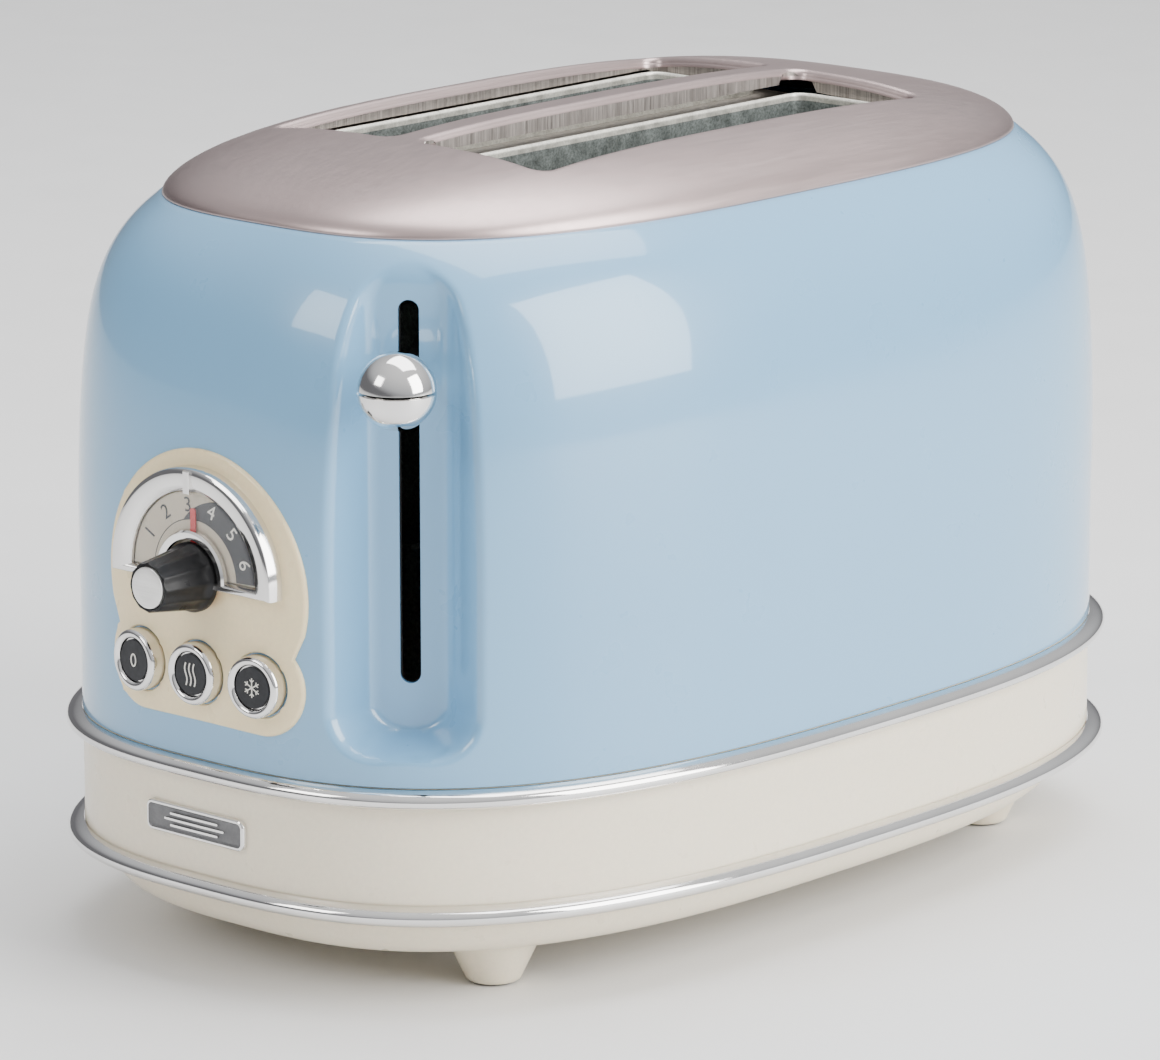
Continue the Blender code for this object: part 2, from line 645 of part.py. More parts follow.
def outer_shell():
    shell = add_object("outer_shell", shell_solid(0.0, SHELL_BOTTOM_Z, SHELL_TOP_Z), enamel_blue(),
                       smooth=35)
    cut(shell, "recess", recess_solid(0.0))
    hollow = add_object("cutter_outer_shell_hollow",
                        shell_solid(-SHELL_WALL, SHELL_BOTTOM_Z - SHELL_WALL, SHELL_TOP_Z - SHELL_WALL))
    cut(hollow, "recess_wall", recess_solid(SHELL_WALL))
    boolean(shell, hollow)
    inset = SHELL_LEDGE
    opening = [(x, y) for x, y, _ in plan_ring(PLATE_HALF_WIDTH - inset, PLATE_HALF_LENGTH - inset,
                                               PLATE_POWER, 0.0)]
    cut(shell, "top_opening", prism_z(opening, SHELL_TOP_Z - 3.0 * SHELL_WALL, SHELL_TOP_Z + SHELL_WALL))
    slot = stadium(LEVER_SLOT_HALF_WIDTH, LEVER_SLOT_BOTTOM_Z, LEVER_SLOT_TOP_Z)
    cut(shell, "lever_slot", lever_prism(slot, -RECESS_DEPTH - 3.0 * SHELL_WALL,
                                         -RECESS_DEPTH + RECESS_OUTSIDE))
    cut(shell, "fascia_opening", prism_y(fascia_outline(FASCIA_MARGIN), -SHELL_HALF_LENGTH - SHELL_WALL,
                                         HUB_FACE_Y + FASCIA_CURVE_DEPTH))
    return shell


def lever_slot_guide():
    """Dark liner plate behind the slot in the recess's floor."""
    front = -RECESS_DEPTH - SHELL_WALL - GAP
    low = LEVER_SLOT_BOTTOM_Z - LINER_MARGIN
    high = LEVER_SLOT_TOP_Z + LINER_MARGIN
    plate = rounded_rectangle(-LINER_HALF_WIDTH, low, LINER_HALF_WIDTH, high, LINER_MARGIN)
    liner = add_object("lever_slot_guide", lever_prism(plate, front - LINER_SHEET, front), black_plastic())
    slot = stadium(LINER_SLOT_HALF_WIDTH, LEVER_SLOT_BOTTOM_Z, LEVER_SLOT_TOP_Z)
    return cut(liner, "slot", lever_prism(slot, front - 2.0 * LINER_SHEET, front + LINER_SHEET))


def slot_outline(side, grow=0.0):
    """Outline of one bread slot in plan."""
    middle = side * SLOT_X
    half_width = SLOT_HALF_WIDTH + grow
    half_length = SLOT_HALF_LENGTH + grow
    return rounded_rectangle(middle - half_width, -half_length, middle + half_width, half_length,
                             SLOT_CORNER + grow)


def dome_z(reach, y):
    """Height of the top plate's surface; reach is 0 in the middle and 1 at the rim."""
    rise = max(0.0, 1.0 - reach ** DOME_EDGE_POWER) ** DOME_ROUND_POWER
    drop = 1.0 - DOME_END_DROP * (y / PLATE_HALF_LENGTH) ** 2
    return BORDER_Z + DOME_HEIGHT * rise * drop


DOME_REACHES = (0.0, 0.42, 0.66, 0.82, 0.92, 0.975, 1.0)


def dome_solid(inset, bottom):
    """The top plate's form, drawn in by a wall thickness, standing on a flat bottom."""
    half_width = PLATE_HALF_WIDTH - inset
    half_length = PLATE_HALF_LENGTH - inset
    rings = [plan_ring(half_width, half_length, PLATE_POWER, bottom)]
    for reach in reversed(DOME_REACHES[1:]):
        flat = plan_ring(half_width * reach, half_length * reach, PLATE_POWER, 0.0)
        rings.append([(x, y, dome_z(reach, y) - inset) for x, y, _ in flat])
    return loft(rings)


def top_plate():
    """Domed cover with a rolled rim and two downturned slot flanges."""
    plate = add_object("top_plate", dome_solid(0.0, BORDER_Z - GAP / 3.0), brushed_steel(), smooth=35)
    hollow = add_object("cutter_top_plate_hollow", dome_solid(PLATE_WALL, BORDER_Z - 4.0 * PLATE_WALL))
    above = BORDER_Z + 2.0 * DOME_HEIGHT
    for side, name in ((-1, "left"), (1, "right")):
        cut(hollow, f"flange_{name}", prism_z(slot_outline(side, PLATE_WALL), SLOT_FLANGE_BOTTOM_Z, above))
    boolean(plate, hollow)
    for side, name in ((-1, "left"), (1, "right")):
        cut(plate, f"slot_{name}", prism_z(slot_outline(side), BORDER_Z - DOME_HEIGHT, above))
    return plate


def throat_outline(side, grow):
    """Plan outline of the throat under one slot, grown outwards."""
    middle = side * SLOT_X
    half_width = THROAT_HALF_WIDTH + grow
    half_length = THROAT_HALF_LENGTH + grow
    return rounded_rectangle(middle - half_width, -half_length, middle + half_width, half_length,
                             SLOT_CORNER + grow)


def slot_collar():
    """Inverted tray that stands on the chamber's walls, with a beaded throat under each slot."""
    half_width = REFLECTOR_X + COLLAR_SHEET
    half_length = CHASSIS_Y + COLLAR_SHEET
    top = COLLAR_Z + COLLAR_SHEET
    bead_top = COLLAR_Z + COLLAR_BEAD_HEIGHT
    collar = add_object("slot_collar", box((-half_width, -half_length, COLLAR_BOTTOM_Z),
                                           (half_width, half_length, top)), galvanised_steel())
    cut(collar, "inside", box((-REFLECTOR_X, -CHASSIS_Y, COLLAR_BOTTOM_Z - COLLAR_SHEET),
                              (REFLECTOR_X, CHASSIS_Y, COLLAR_Z)))
    middle_z = COLLAR_Z + COLLAR_SHEET / 2.0
    for side, name in ((-1, "left"), (1, "right")):
        join(collar, f"throat_{name}", prism_z(throat_outline(side, COLLAR_SHEET), THROAT_BOTTOM_Z, middle_z))
        join(collar, f"bead_{name}", prism_z(throat_outline(side, COLLAR_BEAD_WIDTH), middle_z, bead_top))
        cut(collar, f"opening_{name}", prism_z(throat_outline(side, 0.0), THROAT_BOTTOM_Z - COLLAR_SHEET,
                                               bead_top + COLLAR_SHEET))
    return collar


def trim_ring(name, middle_z):
    """Half-round trim wrapped round the band."""
    profile = [(GAP, -RING_HALF_HEIGHT)]
    profile += [(GAP + RING_PROUD * math.cos(a), RING_HALF_HEIGHT * math.sin(a))
                for a in (math.radians(-60.0 + 30.0 * i) for i in range(5))]
    profile += [(GAP, RING_HALF_HEIGHT)]
    bm = bmesh.new()
    loops = []
    for out, rise in profile:
        loops.append([bm.verts.new(point) for point in band_ring(-out, middle_z + rise)])
    for low, high in zip(loops, loops[1:] + loops[:1]):
        for i in range(PLAN_POINTS):
            j = (i + 1) % PLAN_POINTS
            bm.faces.new((low[i], low[j], high[j], high[i]))
    return add_object(name, bm, chrome(), smooth=50)


def base_band():
    """Hollow plastic band between the trim rings, open at the back for the crumb tray."""
    band = add_object("base_band", loft([band_ring(0.0, BAND_BOTTOM_Z), band_ring(0.0, BAND_TOP_Z)]),
                      cream_plastic(), smooth=35)
    below, above = BAND_BOTTOM_Z - BAND_WALL, BAND_TOP_Z + BAND_WALL
    cut(band, "hollow", loft([band_ring(BAND_WALL, below), band_ring(BAND_WALL, above)]))
    half_width = TRAY_PANEL_HALF_WIDTH + TRAY_TRAVEL_CLEAR
    low = (-half_width, 0.0, TRAY_PANEL_BOTTOM_Z - TRAY_TRAVEL_CLEAR)
    high = (half_width, 2.0 * BAND_HALF_LENGTH, TRAY_PANEL_TOP_Z + TRAY_TRAVEL_CLEAR)
    return cut(band, "tray_opening", box(low, high))


def pan_solid(wall, top):
    """The base pan's rounded form and its lip, drawn in by a wall thickness."""
    rings = []
    steps = 3
    floor = FOOT_HEIGHT + wall
    lip_z = top - PAN_LIP_HEIGHT
    for i in range(steps + 1):
        turn = math.radians(90.0 * i / steps)
        inset = PAN_FLOOR_INSET - (PAN_FLOOR_INSET - PAN_INSET) * math.sin(turn) + wall
        rings.append(band_ring(inset, floor + (lip_z - floor) * (1.0 - math.cos(turn))))
    rings.append(band_ring(PAN_LIP_INSET + wall, lip_z))
    rings.append(band_ring(PAN_LIP_INSET + wall, top))
    return loft(rings)


def corners(x, y):
    """The four places (name, x, y) that mirror one point in X and Y."""
    return [(f"{end}_{side}", sx * x, sy * y)
            for end, sy in (("front", -1), ("rear", 1)) for side, sx in (("left", -1), ("right", 1))]


def base_pan():
    """Bottom cover with four moulded feet."""
    pan = add_object("base_pan", pan_solid(0.0, PAN_TOP_Z), cream_plastic(), smooth=35)
    cut(pan, "hollow", pan_solid(PAN_WALL, PAN_TOP_Z + PAN_WALL))
    for name, x, y in corners(FOOT_X, FOOT_Y):
        foot_profile = ((FOOT_END_RADIUS, PAD_HEIGHT - 2.0 * GAP),
                        (FOOT_TOP_RADIUS, FOOT_HEIGHT + PAN_WALL / 2.0))
        rings = [[(px, py, z) for px, py in circle((x, y), radius, 16)] for radius, z in foot_profile]
        join(pan, f"foot_{name}", loft(rings))
        cut(pan, f"pad_seat_{name}", tube_z((x, y), PAD_RADIUS + GAP, -PAD_HEIGHT, PAD_HEIGHT + GAP, 16))
    for name, x, y in corners(SCREW_X, SCREW_Y):
        cut(pan, f"screw_hole_{name}", tube_z((x, y), SCREW_SHANK_RADIUS + SCREW_HOLE_MARGIN,
                                              FOOT_HEIGHT - PAN_WALL, PAN_FLOOR_Z + PAN_WALL, 8))
    cut(pan, "gland_hole", tube_z((0.0, GLAND_Y), GLAND_BODY_RADIUS + GAP, FOOT_HEIGHT - PAN_WALL,
                                  PAN_FLOOR_Z + PAN_WALL, 16))
    return pan


def foot_pads():
    for name, x, y in corners(FOOT_X, FOOT_Y):
        add_object(f"foot_pad_{name}", tube_z((x, y), PAD_RADIUS, 0.0, PAD_HEIGHT, 16), rubber(),
                   (x, y, 0.0), smooth=35)


def base_screws():
    """Screws from below, through the pan and into the chassis feet."""
    for name, x, y in corners(SCREW_X, SCREW_Y):
        place = (x, y, SCREW_HEAD_BOTTOM_Z)
        head_top = SCREW_HEAD_BOTTOM_Z + SCREW_HEAD_HEIGHT
        profile = ((SCREW_HEAD_RADIUS - SCREW_CHAMFER, SCREW_HEAD_BOTTOM_Z),
                   (SCREW_HEAD_RADIUS, SCREW_HEAD_BOTTOM_Z + SCREW_CHAMFER),
                   (SCREW_HEAD_RADIUS, head_top),
                   (SCREW_SHANK_RADIUS, head_top),
                   (SCREW_SHANK_RADIUS, head_top + SCREW_LENGTH))
        rings = [[(px, py, z) for px, py in circle((x, y), radius, 10)] for radius, z in profile]
        screw = add_object(f"base_screw_{name}", loft(rings), galvanised_steel(), place, smooth=35)
        cut(screw, "drive", box((x - SCREW_DRIVE_LENGTH, y - SCREW_DRIVE_WIDTH,
                                 SCREW_HEAD_BOTTOM_Z - SCREW_DRIVE_DEPTH),
                                (x + SCREW_DRIVE_LENGTH, y + SCREW_DRIVE_WIDTH,
                                 SCREW_HEAD_BOTTOM_Z + SCREW_DRIVE_DEPTH)))


def cord_gland():
    """Flanged bush in the pan's floor, where the cord would come out."""
    bottom = FOOT_HEIGHT - GAP - GLAND_FLANGE_HEIGHT
    rings = []
    for radius, z in ((GLAND_END_RADIUS, FOOT_HEIGHT - GLAND_DROP),
                      (GLAND_BODY_RADIUS, bottom),
                      (GLAND_FLANGE_RADIUS, bottom),
                      (GLAND_FLANGE_RADIUS, FOOT_HEIGHT - GAP),
                      (GLAND_BODY_RADIUS, FOOT_HEIGHT - GAP),
                      (GLAND_BODY_RADIUS, PAN_FLOOR_Z + GLAND_FLANGE_HEIGHT)):
        rings.append([(x, y, z) for x, y in circle((0.0, GLAND_Y), radius, 16)])
    gland = add_object("cord_gland", loft(rings), black_plastic(), (0.0, GLAND_Y, bottom), smooth=35)
    return cut(gland, "bore", tube_z((0.0, GLAND_Y), GLAND_BORE_RADIUS, 0.0, 2.0 * PAN_FLOOR_Z, 12))


def name_badge():
    """Plain raised plate that follows the front of the band."""
    outline = rounded_rectangle(BADGE_X - BADGE_HALF_LENGTH, BADGE_Z - BADGE_HALF_HEIGHT,
                                BADGE_X + BADGE_HALF_LENGTH, BADGE_Z + BADGE_HALF_HEIGHT, BADGE_CORNER)
    badge = add_object("name_badge", prism_y(outline, -BAND_HALF_LENGTH - 2.0 * RING_PROUD,
                                             -BAND_HALF_LENGTH + 4.0 * RING_PROUD),
                       chrome(), smooth=35)
    low, high = BADGE_Z - 2.0 * BADGE_HALF_HEIGHT, BADGE_Z + 2.0 * BADGE_HALF_HEIGHT
    face = add_object("cutter_name_badge_face", loft([band_ring(-GAP - BADGE_THICKNESS, low),
                                                      band_ring(-GAP - BADGE_THICKNESS, high)]))
    boolean(badge, face, "INTERSECT")
    return cut(badge, "back", loft([band_ring(-GAP, low - GAP), band_ring(-GAP, high + GAP)]))


# ---------------------------------------------------------------- crumb tray
def tray_panel():
    """Curved panel that closes the band's opening, with a finger pull."""
    outline = rectangle(-TRAY_PANEL_HALF_WIDTH, TRAY_PANEL_BOTTOM_Z, TRAY_PANEL_HALF_WIDTH, TRAY_PANEL_TOP_Z)
    panel = add_object("tray_panel", prism_y(outline, BAND_HALF_LENGTH / 2.0, 2.0 * BAND_HALF_LENGTH),
                       cream_plastic(), smooth=35)
    low, high = TRAY_PANEL_BOTTOM_Z - BAND_WALL, TRAY_PANEL_TOP_Z + BAND_WALL
    outside = add_object("cutter_tray_panel_outside", loft([band_ring(0.0, low), band_ring(0.0, high)]))
    boolean(panel, outside, "INTERSECT")
    cut(panel, "inside", loft([band_ring(BAND_WALL, low - GAP), band_ring(BAND_WALL, high + GAP)]))
    pull_low = (-TRAY_PULL_HALF_WIDTH, BAND_HALF_LENGTH - BAND_WALL / 2.0, TRAY_PANEL_BOTTOM_Z + GAP)
    pull_high = (TRAY_PULL_HALF_WIDTH, BAND_HALF_LENGTH + TRAY_PULL_LENGTH,
                 TRAY_PANEL_BOTTOM_Z + GAP + TRAY_PULL_HEIGHT)
    return join(panel, "pull", box(pull_low, pull_high))


def crumb_tray():
    """Shallow tray with outturned lips that run on the rails."""
    back = BAND_HALF_LENGTH
    tray = add_object("crumb_tray", box((-TRAY_HALF_WIDTH, TRAY_FRONT_Y, TRAY_FLOOR_Z),
                                        (TRAY_HALF_WIDTH, back, TRAY_TOP_Z)), galvanised_steel())
    join(tray, "lips", box((-TRAY_LIP_X, TRAY_FRONT_Y, TRAY_TOP_Z - TRAY_SHEET),
                           (TRAY_LIP_X, back, TRAY_TOP_Z)))
    low, high = TRAY_FLOOR_Z - BAND_WALL, TRAY_TOP_Z + BAND_WALL
    inside = add_object("cutter_crumb_tray_end", loft([band_ring(BAND_WALL + GAP, low),
                                                       band_ring(BAND_WALL + GAP, high)]))
    boolean(tray, inside, "INTERSECT")
    hollow = add_object("cutter_crumb_tray_hollow",
                        box((-TRAY_HALF_WIDTH + TRAY_SHEET, TRAY_FRONT_Y + TRAY_SHEET,
                             TRAY_FLOOR_Z + TRAY_SHEET),
                            (TRAY_HALF_WIDTH - TRAY_SHEET, back, TRAY_TOP_Z + TRAY_SHEET)))
    wall = BAND_WALL + GAP + TRAY_SHEET
    inner = add_object("cutter_crumb_tray_inner_end", loft([band_ring(wall, low), band_ring(wall, high)]))
    boolean(hollow, inner, "INTERSECT")
    return boolean(tray, hollow)


def tray_rails():
    for side, name in ((-1, "left"), (1, "right")):
        inner = side * (TRAY_LIP_X + RAIL_SIDE_GAP)
        outer = inner + side * RAIL_SHEET
        lip_end = side * (TRAY_HALF_WIDTH + RAIL_SIDE_GAP)
        end = CHASSIS_Y - GAP
        low, high = min(inner, outer), max(inner, outer)
        rail = add_object(f"tray_rail_{name}", box((low, -end, CHASSIS_BOTTOM_Z), (high, end, TRAY_TOP_Z)),
                          galvanised_steel())
        lip_top = TRAY_TOP_Z - TRAY_SHEET - GAP
        overlap = inner + side * RAIL_SHEET / 2.0
        join(rail, "lip", box((min(lip_end, overlap), -end, lip_top - RAIL_SHEET),
                              (max(lip_end, overlap), end, lip_top)))


# ---------------------------------------------------------------- chassis
def chassis_sheet(name, side):
    """End plate of the toasting chamber with two outturned feet; side is -1 in front, 1 at the back."""
    inner, outer = side * CHASSIS_Y, side * (CHASSIS_Y + CHASSIS_SHEET)
    low_y, high_y = min(inner, outer), max(inner, outer)
    plate = add_object(name, box((-CHASSIS_HALF_WIDTH, low_y, CHASSIS_BOTTOM_Z),
                                 (CHASSIS_HALF_WIDTH, high_y, CHASSIS_TOP_Z)), galvanised_steel())
    middle = side * (CHASSIS_Y + CHASSIS_SHEET / 2.0)
    toe = side * (CHASSIS_Y + CHASSIS_SHEET + CHASSIS_FOOT_LENGTH)
    for turn, label in ((-1, "left"), (1, "right")):
        xs = sorted((turn * CHASSIS_FOOT_INNER_X, turn * CHASSIS_FOOT_OUTER_X))
        foot = box((xs[0], min(middle, toe), CHASSIS_BOTTOM_Z),
                   (xs[1], max(middle, toe), CHASSIS_BOTTOM_Z + CHASSIS_SHEET))
        join(plate, f"foot_{label}", foot)
        cut(plate, f"foot_hole_{label}",
            tube_z((turn * SCREW_X, side * SCREW_Y), SCREW_SHANK_RADIUS + SCREW_HOLE_MARGIN,
                   CHASSIS_BOTTOM_Z - CHASSIS_SHEET, CHASSIS_BOTTOM_Z + 2.0 * CHASSIS_SHEET, 8))
    for slot in (-1, 1):
        for face in (-1, 1):
            x = slot * SLOT_X + face * GUARD_HALF_SPACING
            hole = tube_y((x, GUARD_PIVOT_Z), GUARD_PIN_HOLE_RADIUS, low_y - CHASSIS_SHEET,
                          high_y + CHASSIS_SHEET, 8)
            cut(plate, f"pin_hole_{slot}_{face}", hole)
    return plate


def front_chassis_plate():
    """Front end plate: windows for the lift racks and a forward shelf for the guide rod."""
    plate = chassis_sheet("front_chassis_plate", -1)
    front = -CHASSIS_Y - CHASSIS_SHEET
    for side, name in ((-1, "left"), (1, "right")):
        x = side * SLOT_X
        low = RACK_BOTTOM_Z - LEVER_DROP - RACK_WINDOW_MARGIN
        high = RACK_SHELF_Z + LEVER_HIGH_LIFT + RACK_WINDOW_MARGIN
        cut(plate, f"rack_window_{name}", box((x - RACK_WINDOW_HALF_WIDTH, front - CHASSIS_SHEET, low),
                                              (x + RACK_WINDOW_HALF_WIDTH, -CHASSIS_Y + CHASSIS_SHEET, high)))
    join(plate, "shelf", box((CHASSIS_SHELF_X[0], front - CHASSIS_SHELF_LENGTH, SHELF_Z),
                             (CHASSIS_SHELF_X[1], -CHASSIS_Y - CHASSIS_SHEET / 2.0, SHELF_Z + CHASSIS_SHEET)))
    return plate


def rear_chassis_plate():
    """Rear end plate, open below for the crumb tray."""
    plate = chassis_sheet("rear_chassis_plate", 1)
    return cut(plate, "tray_opening", box((-CHASSIS_LEG_INNER_X, CHASSIS_Y - CHASSIS_SHEET, 0.0),
                                          (CHASSIS_LEG_INNER_X, CHASSIS_Y + 2.0 * CHASSIS_SHEET,
                                           REAR_OPENING_TOP_Z)))


def reflectors():
    """Bright side sheets behind the outer heaters."""
    for side, name in ((-1, "left"), (1, "right")):
        xs = sorted((side * REFLECTOR_X, side * (REFLECTOR_X + REFLECTOR_SHEET)))
        end = CHASSIS_Y - GAP
        add_object(f"reflector_{name}", box((xs[0], -end, REFLECTOR_BOTTOM_Z), (xs[1], end, CHASSIS_TOP_Z)),
                   galvanised_steel())


def heater_cards():
    """Mica cards that carry the heating wire: one on each side and a shared one in the middle."""
    for x, name in ((-HEATER_X, "left"), (0.0, "middle"), (HEATER_X, "right")):
        add_object(f"heater_card_{name}",
                   box((x - HEATER_CARD / 2.0, -HEATER_HALF_LENGTH, HEATER_BOTTOM_Z),
                       (x + HEATER_CARD / 2.0, HEATER_HALF_LENGTH, HEATER_TOP_Z)), mica())


def bread_guards():
    """Wire screens on both sides of each slot, each turning on its bottom wire."""
    half = GUARD_WIRE / 2.0
    for slot, slot_name in ((-1, "left"), (1, "right")):
        for face, face_name in ((-1, "a"), (1, "b")):
            x = slot * SLOT_X + face * GUARD_HALF_SPACING
            outline = rectangle(-GUARD_HALF_LENGTH, GUARD_PIVOT_Z, GUARD_HALF_LENGTH, GUARD_TOP_Z)
            panel = loft([[(px, y, z) for y, z in outline] for px in (x - half, x + half)])
            guard = add_object(f"bread_guard_{slot_name}_{face_name}", panel, galvanised_steel(),
                               (x, 0.0, GUARD_PIVOT_Z))
            windows = bmesh.new()
            bars = int(2.0 * GUARD_HALF_LENGTH / GUARD_BAR_PITCH)
            pitch = 2.0 * GUARD_HALF_LENGTH / bars
            for i in range(bars):
                start = -GUARD_HALF_LENGTH + i * pitch + half
                hole = box((x - GUARD_WIRE, start, GUARD_PIVOT_Z + GUARD_WIRE),
                           (x + GUARD_WIRE, start + pitch - GUARD_WIRE, GUARD_TOP_Z - GUARD_WIRE))
                piece = bpy.data.meshes.new("window")
                hole.to_mesh(piece)
                hole.free()
                windows.from_mesh(piece)
                bpy.data.meshes.remove(piece)
            cut(guard, "windows", windows)
            reach = CHASSIS_Y + CHASSIS_SHEET + CARRIAGE_GAP / 2.0
            join(guard, "pin", tube_y((x, GUARD_PIVOT_Z), GUARD_PIN_RADIUS, -reach, reach, 8))


# ---------------------------------------------------------------- lift mechanism
def carriage_origin():
    return (ROD_X, ROD_Y, LEVER_REST_Z)


def carriage_plate():
    """Plate that carries both racks, with the block that runs on the guide rod."""
    plate = add_object("carriage_plate",
                       box((-CARRIAGE_HALF_WIDTH, CARRIAGE_FRONT_Y, CARRIAGE_BOTTOM_Z),
                           (CARRIAGE_HALF_WIDTH, CARRIAGE_Y, LEVER_REST_Z + CARRIAGE_ABOVE_LEVER)),
                       galvanised_steel(), carriage_origin())
    join(plate, "block", box((ROD_X - BLOCK_HALF_WIDTH, CARRIAGE_FRONT_Y - BLOCK_LENGTH,
                              LEVER_REST_Z - BLOCK_HALF_HEIGHT),
                             (ROD_X + BLOCK_HALF_WIDTH, CARRIAGE_Y - CARRIAGE_SHEET / 2.0,
                              LEVER_REST_Z + BLOCK_HALF_HEIGHT)))
    cut(plate, "rod_bore", tube_z((ROD_X, ROD_Y), ROD_RADIUS + GAP, LEVER_REST_Z - 2.0 * BLOCK_HALF_HEIGHT,
                                  LEVER_REST_Z + 2.0 * BLOCK_HALF_HEIGHT, 16))
    join(plate, "spring_hook", box((SPRING_X - SPRING_HOOK_HALF_WIDTH, ROD_Y - SPRING_HOOK_HALF_WIDTH,
                                    SPRING_HOOK_Z - SPRING_HOOK_SHEET),
                                   (SPRING_X + SPRING_HOOK_HALF_WIDTH, CARRIAGE_Y - CARRIAGE_SHEET / 2.0,
                                    SPRING_HOOK_Z)))
    return plate


def lift_racks():
    """Shelves the bread stands on: a web through the front plate and a narrow shelf on it."""
    for side, name in ((-1, "left"), (1, "right")):
        x = side * SLOT_X
        place = (x, CARRIAGE_Y, RACK_SHELF_Z)
        rack = add_object(f"lift_rack_{name}",
                          box((x - RACK_WEB_HALF_THICKNESS, CARRIAGE_Y + GAP, RACK_BOTTOM_Z),
                              (x + RACK_WEB_HALF_THICKNESS, RACK_SHELF_HALF_LENGTH, RACK_SHELF_Z)),
                          galvanised_steel(), place)
        join(rack, "shelf", box((x - RACK_SHELF_HALF_WIDTH, -RACK_SHELF_HALF_LENGTH,
                                 RACK_SHELF_Z - RACK_SHELF_SHEET),
                                (x + RACK_SHELF_HALF_WIDTH, RACK_SHELF_HALF_LENGTH, RACK_SHELF_Z)))


def guide_rod():
    rings = []
    bottom = PAN_FLOOR_Z + GAP
    for radius, z in ((ROD_SEAT_RADIUS, bottom), (ROD_SEAT_RADIUS, bottom + ROD_SEAT_HEIGHT),
                      (ROD_RADIUS, bottom + ROD_SEAT_HEIGHT), (ROD_RADIUS, SHELF_Z - GAP)):
        rings.append([(x, y, z) for x, y in circle((ROD_X, ROD_Y), radius, 16)])
    return add_object("guide_rod", loft(rings), chrome(), (ROD_X, ROD_Y, bottom), smooth=35)


def return_spring():
    """Tension spring between the chassis shelf and the carriage's hook."""
    low = SPRING_HOOK_Z + GAP + SPRING_WIRE_RADIUS
    high = SHELF_Z - GAP - SPRING_WIRE_RADIUS
    steps = SPRING_TURNS * 8
    sides = 4
    rings = []
    for i in range(steps + 1):
        turn = 2.0 * math.pi * i / 8.0
        outward = Vector((math.cos(turn), math.sin(turn), 0.0))
        middle = Vector((SPRING_X, ROD_Y, low + (high - low) * i / steps)) + outward * SPRING_RADIUS
        rings.append([middle + outward * SPRING_WIRE_RADIUS * math.cos(a)
                      + Vector((0.0, 0.0, SPRING_WIRE_RADIUS * math.sin(a)))
                      for a in (2.0 * math.pi * k / sides for k in range(sides))])
    return add_object("return_spring", loft(rings), galvanised_steel(), (SPRING_X, ROD_Y, high))


def lever_arm():
    """Bent strip from the carriage plate to the recess, out through its slot and into the ball."""
    tab_back = CARRIAGE_FRONT_Y - GAP
    tab_middle = tab_back - ARM_TAB_SHEET / 2.0
    path = [to_lever((0.0, BALL_OUT + ARM_HALF_HEIGHT, 0.0)),
            to_lever((0.0, -ARM_BEND_BEHIND_SHELL, 0.0)),
            Vector((ARM_TAB_X, tab_middle, 0.0))]
    outline = []
    for side in (1.0, -1.0):
        edge = []
        for i, point in enumerate(path):
            before = path[max(i - 1, 0)]
            after = path[min(i + 1, len(path) - 1)]
            along = (after - before).normalized()
            edge.append((point.x - side * ARM_HALF_THICKNESS * along.y,
                         point.y + side * ARM_HALF_THICKNESS * along.x))
        outline += edge if side > 0.0 else reversed(edge)
    strip = prism_z(outline, LEVER_REST_Z - ARM_HALF_HEIGHT, LEVER_REST_Z + ARM_HALF_HEIGHT)
    arm = add_object("lever_arm", strip, galvanised_steel(), to_lever((0.0, 0.0, LEVER_REST_Z)))
    join(arm, "tab", box((ARM_TAB_X - ARM_TAB_HALF_WIDTH, tab_back - ARM_TAB_SHEET,
                          LEVER_REST_Z - ARM_TAB_HALF_HEIGHT),
                         (ARM_TAB_X + ARM_TAB_HALF_WIDTH, tab_back, LEVER_REST_Z + ARM_TAB_HALF_HEIGHT)))
    return arm


def lever_ball():
    """The lever's knob: two shells of a ball that meet in a seam, each with a seat for the arm."""
    centre = to_lever((0.0, BALL_OUT, LEVER_REST_Z))
    middle = (centre.x, centre.y)
    rings_each = 5
    sides = 18
    for name, up in (("lower", -1), ("upper", 1)):
        rings = []
        for i in range(rings_each):
            turn = math.radians(BALL_POLE_ANGLE * i / (rings_each - 1))
            z = centre.z + up * (BALL_SEAM / 2.0 + (BALL_RADIUS - BALL_SEAM / 2.0) * math.sin(turn))
            rings.append([(x, y, z) for x, y in circle(middle, BALL_RADIUS * math.cos(turn), sides)])
        half = add_object(f"lever_knob_{name}", loft(rings), chrome(), centre, smooth=60)
        seat = rectangle(-ARM_HALF_THICKNESS - GAP, LEVER_REST_Z - ARM_HALF_HEIGHT - GAP,
                         ARM_HALF_THICKNESS + GAP, LEVER_REST_Z + ARM_HALF_HEIGHT + GAP)
        cut(half, "arm_seat", lever_prism(seat, BALL_OUT - 2.0 * BALL_RADIUS,
                                          BALL_OUT + ARM_HALF_HEIGHT + GAP))


def armature_plate():
    """Iron plate that the electromagnet holds while the bread toasts."""
    low_y = CARRIAGE_FRONT_Y - ARMATURE_LENGTH
    return add_object("armature_plate", box((ARMATURE_X - ARMATURE_HALF_WIDTH, low_y, ARMATURE_Z),
                                            (ARMATURE_X + ARMATURE_HALF_WIDTH, CARRIAGE_Y,
                                             ARMATURE_Z + ARMATURE_SHEET)), galvanised_steel(),
                      (ARMATURE_X, CARRIAGE_FRONT_Y, ARMATURE_Z))


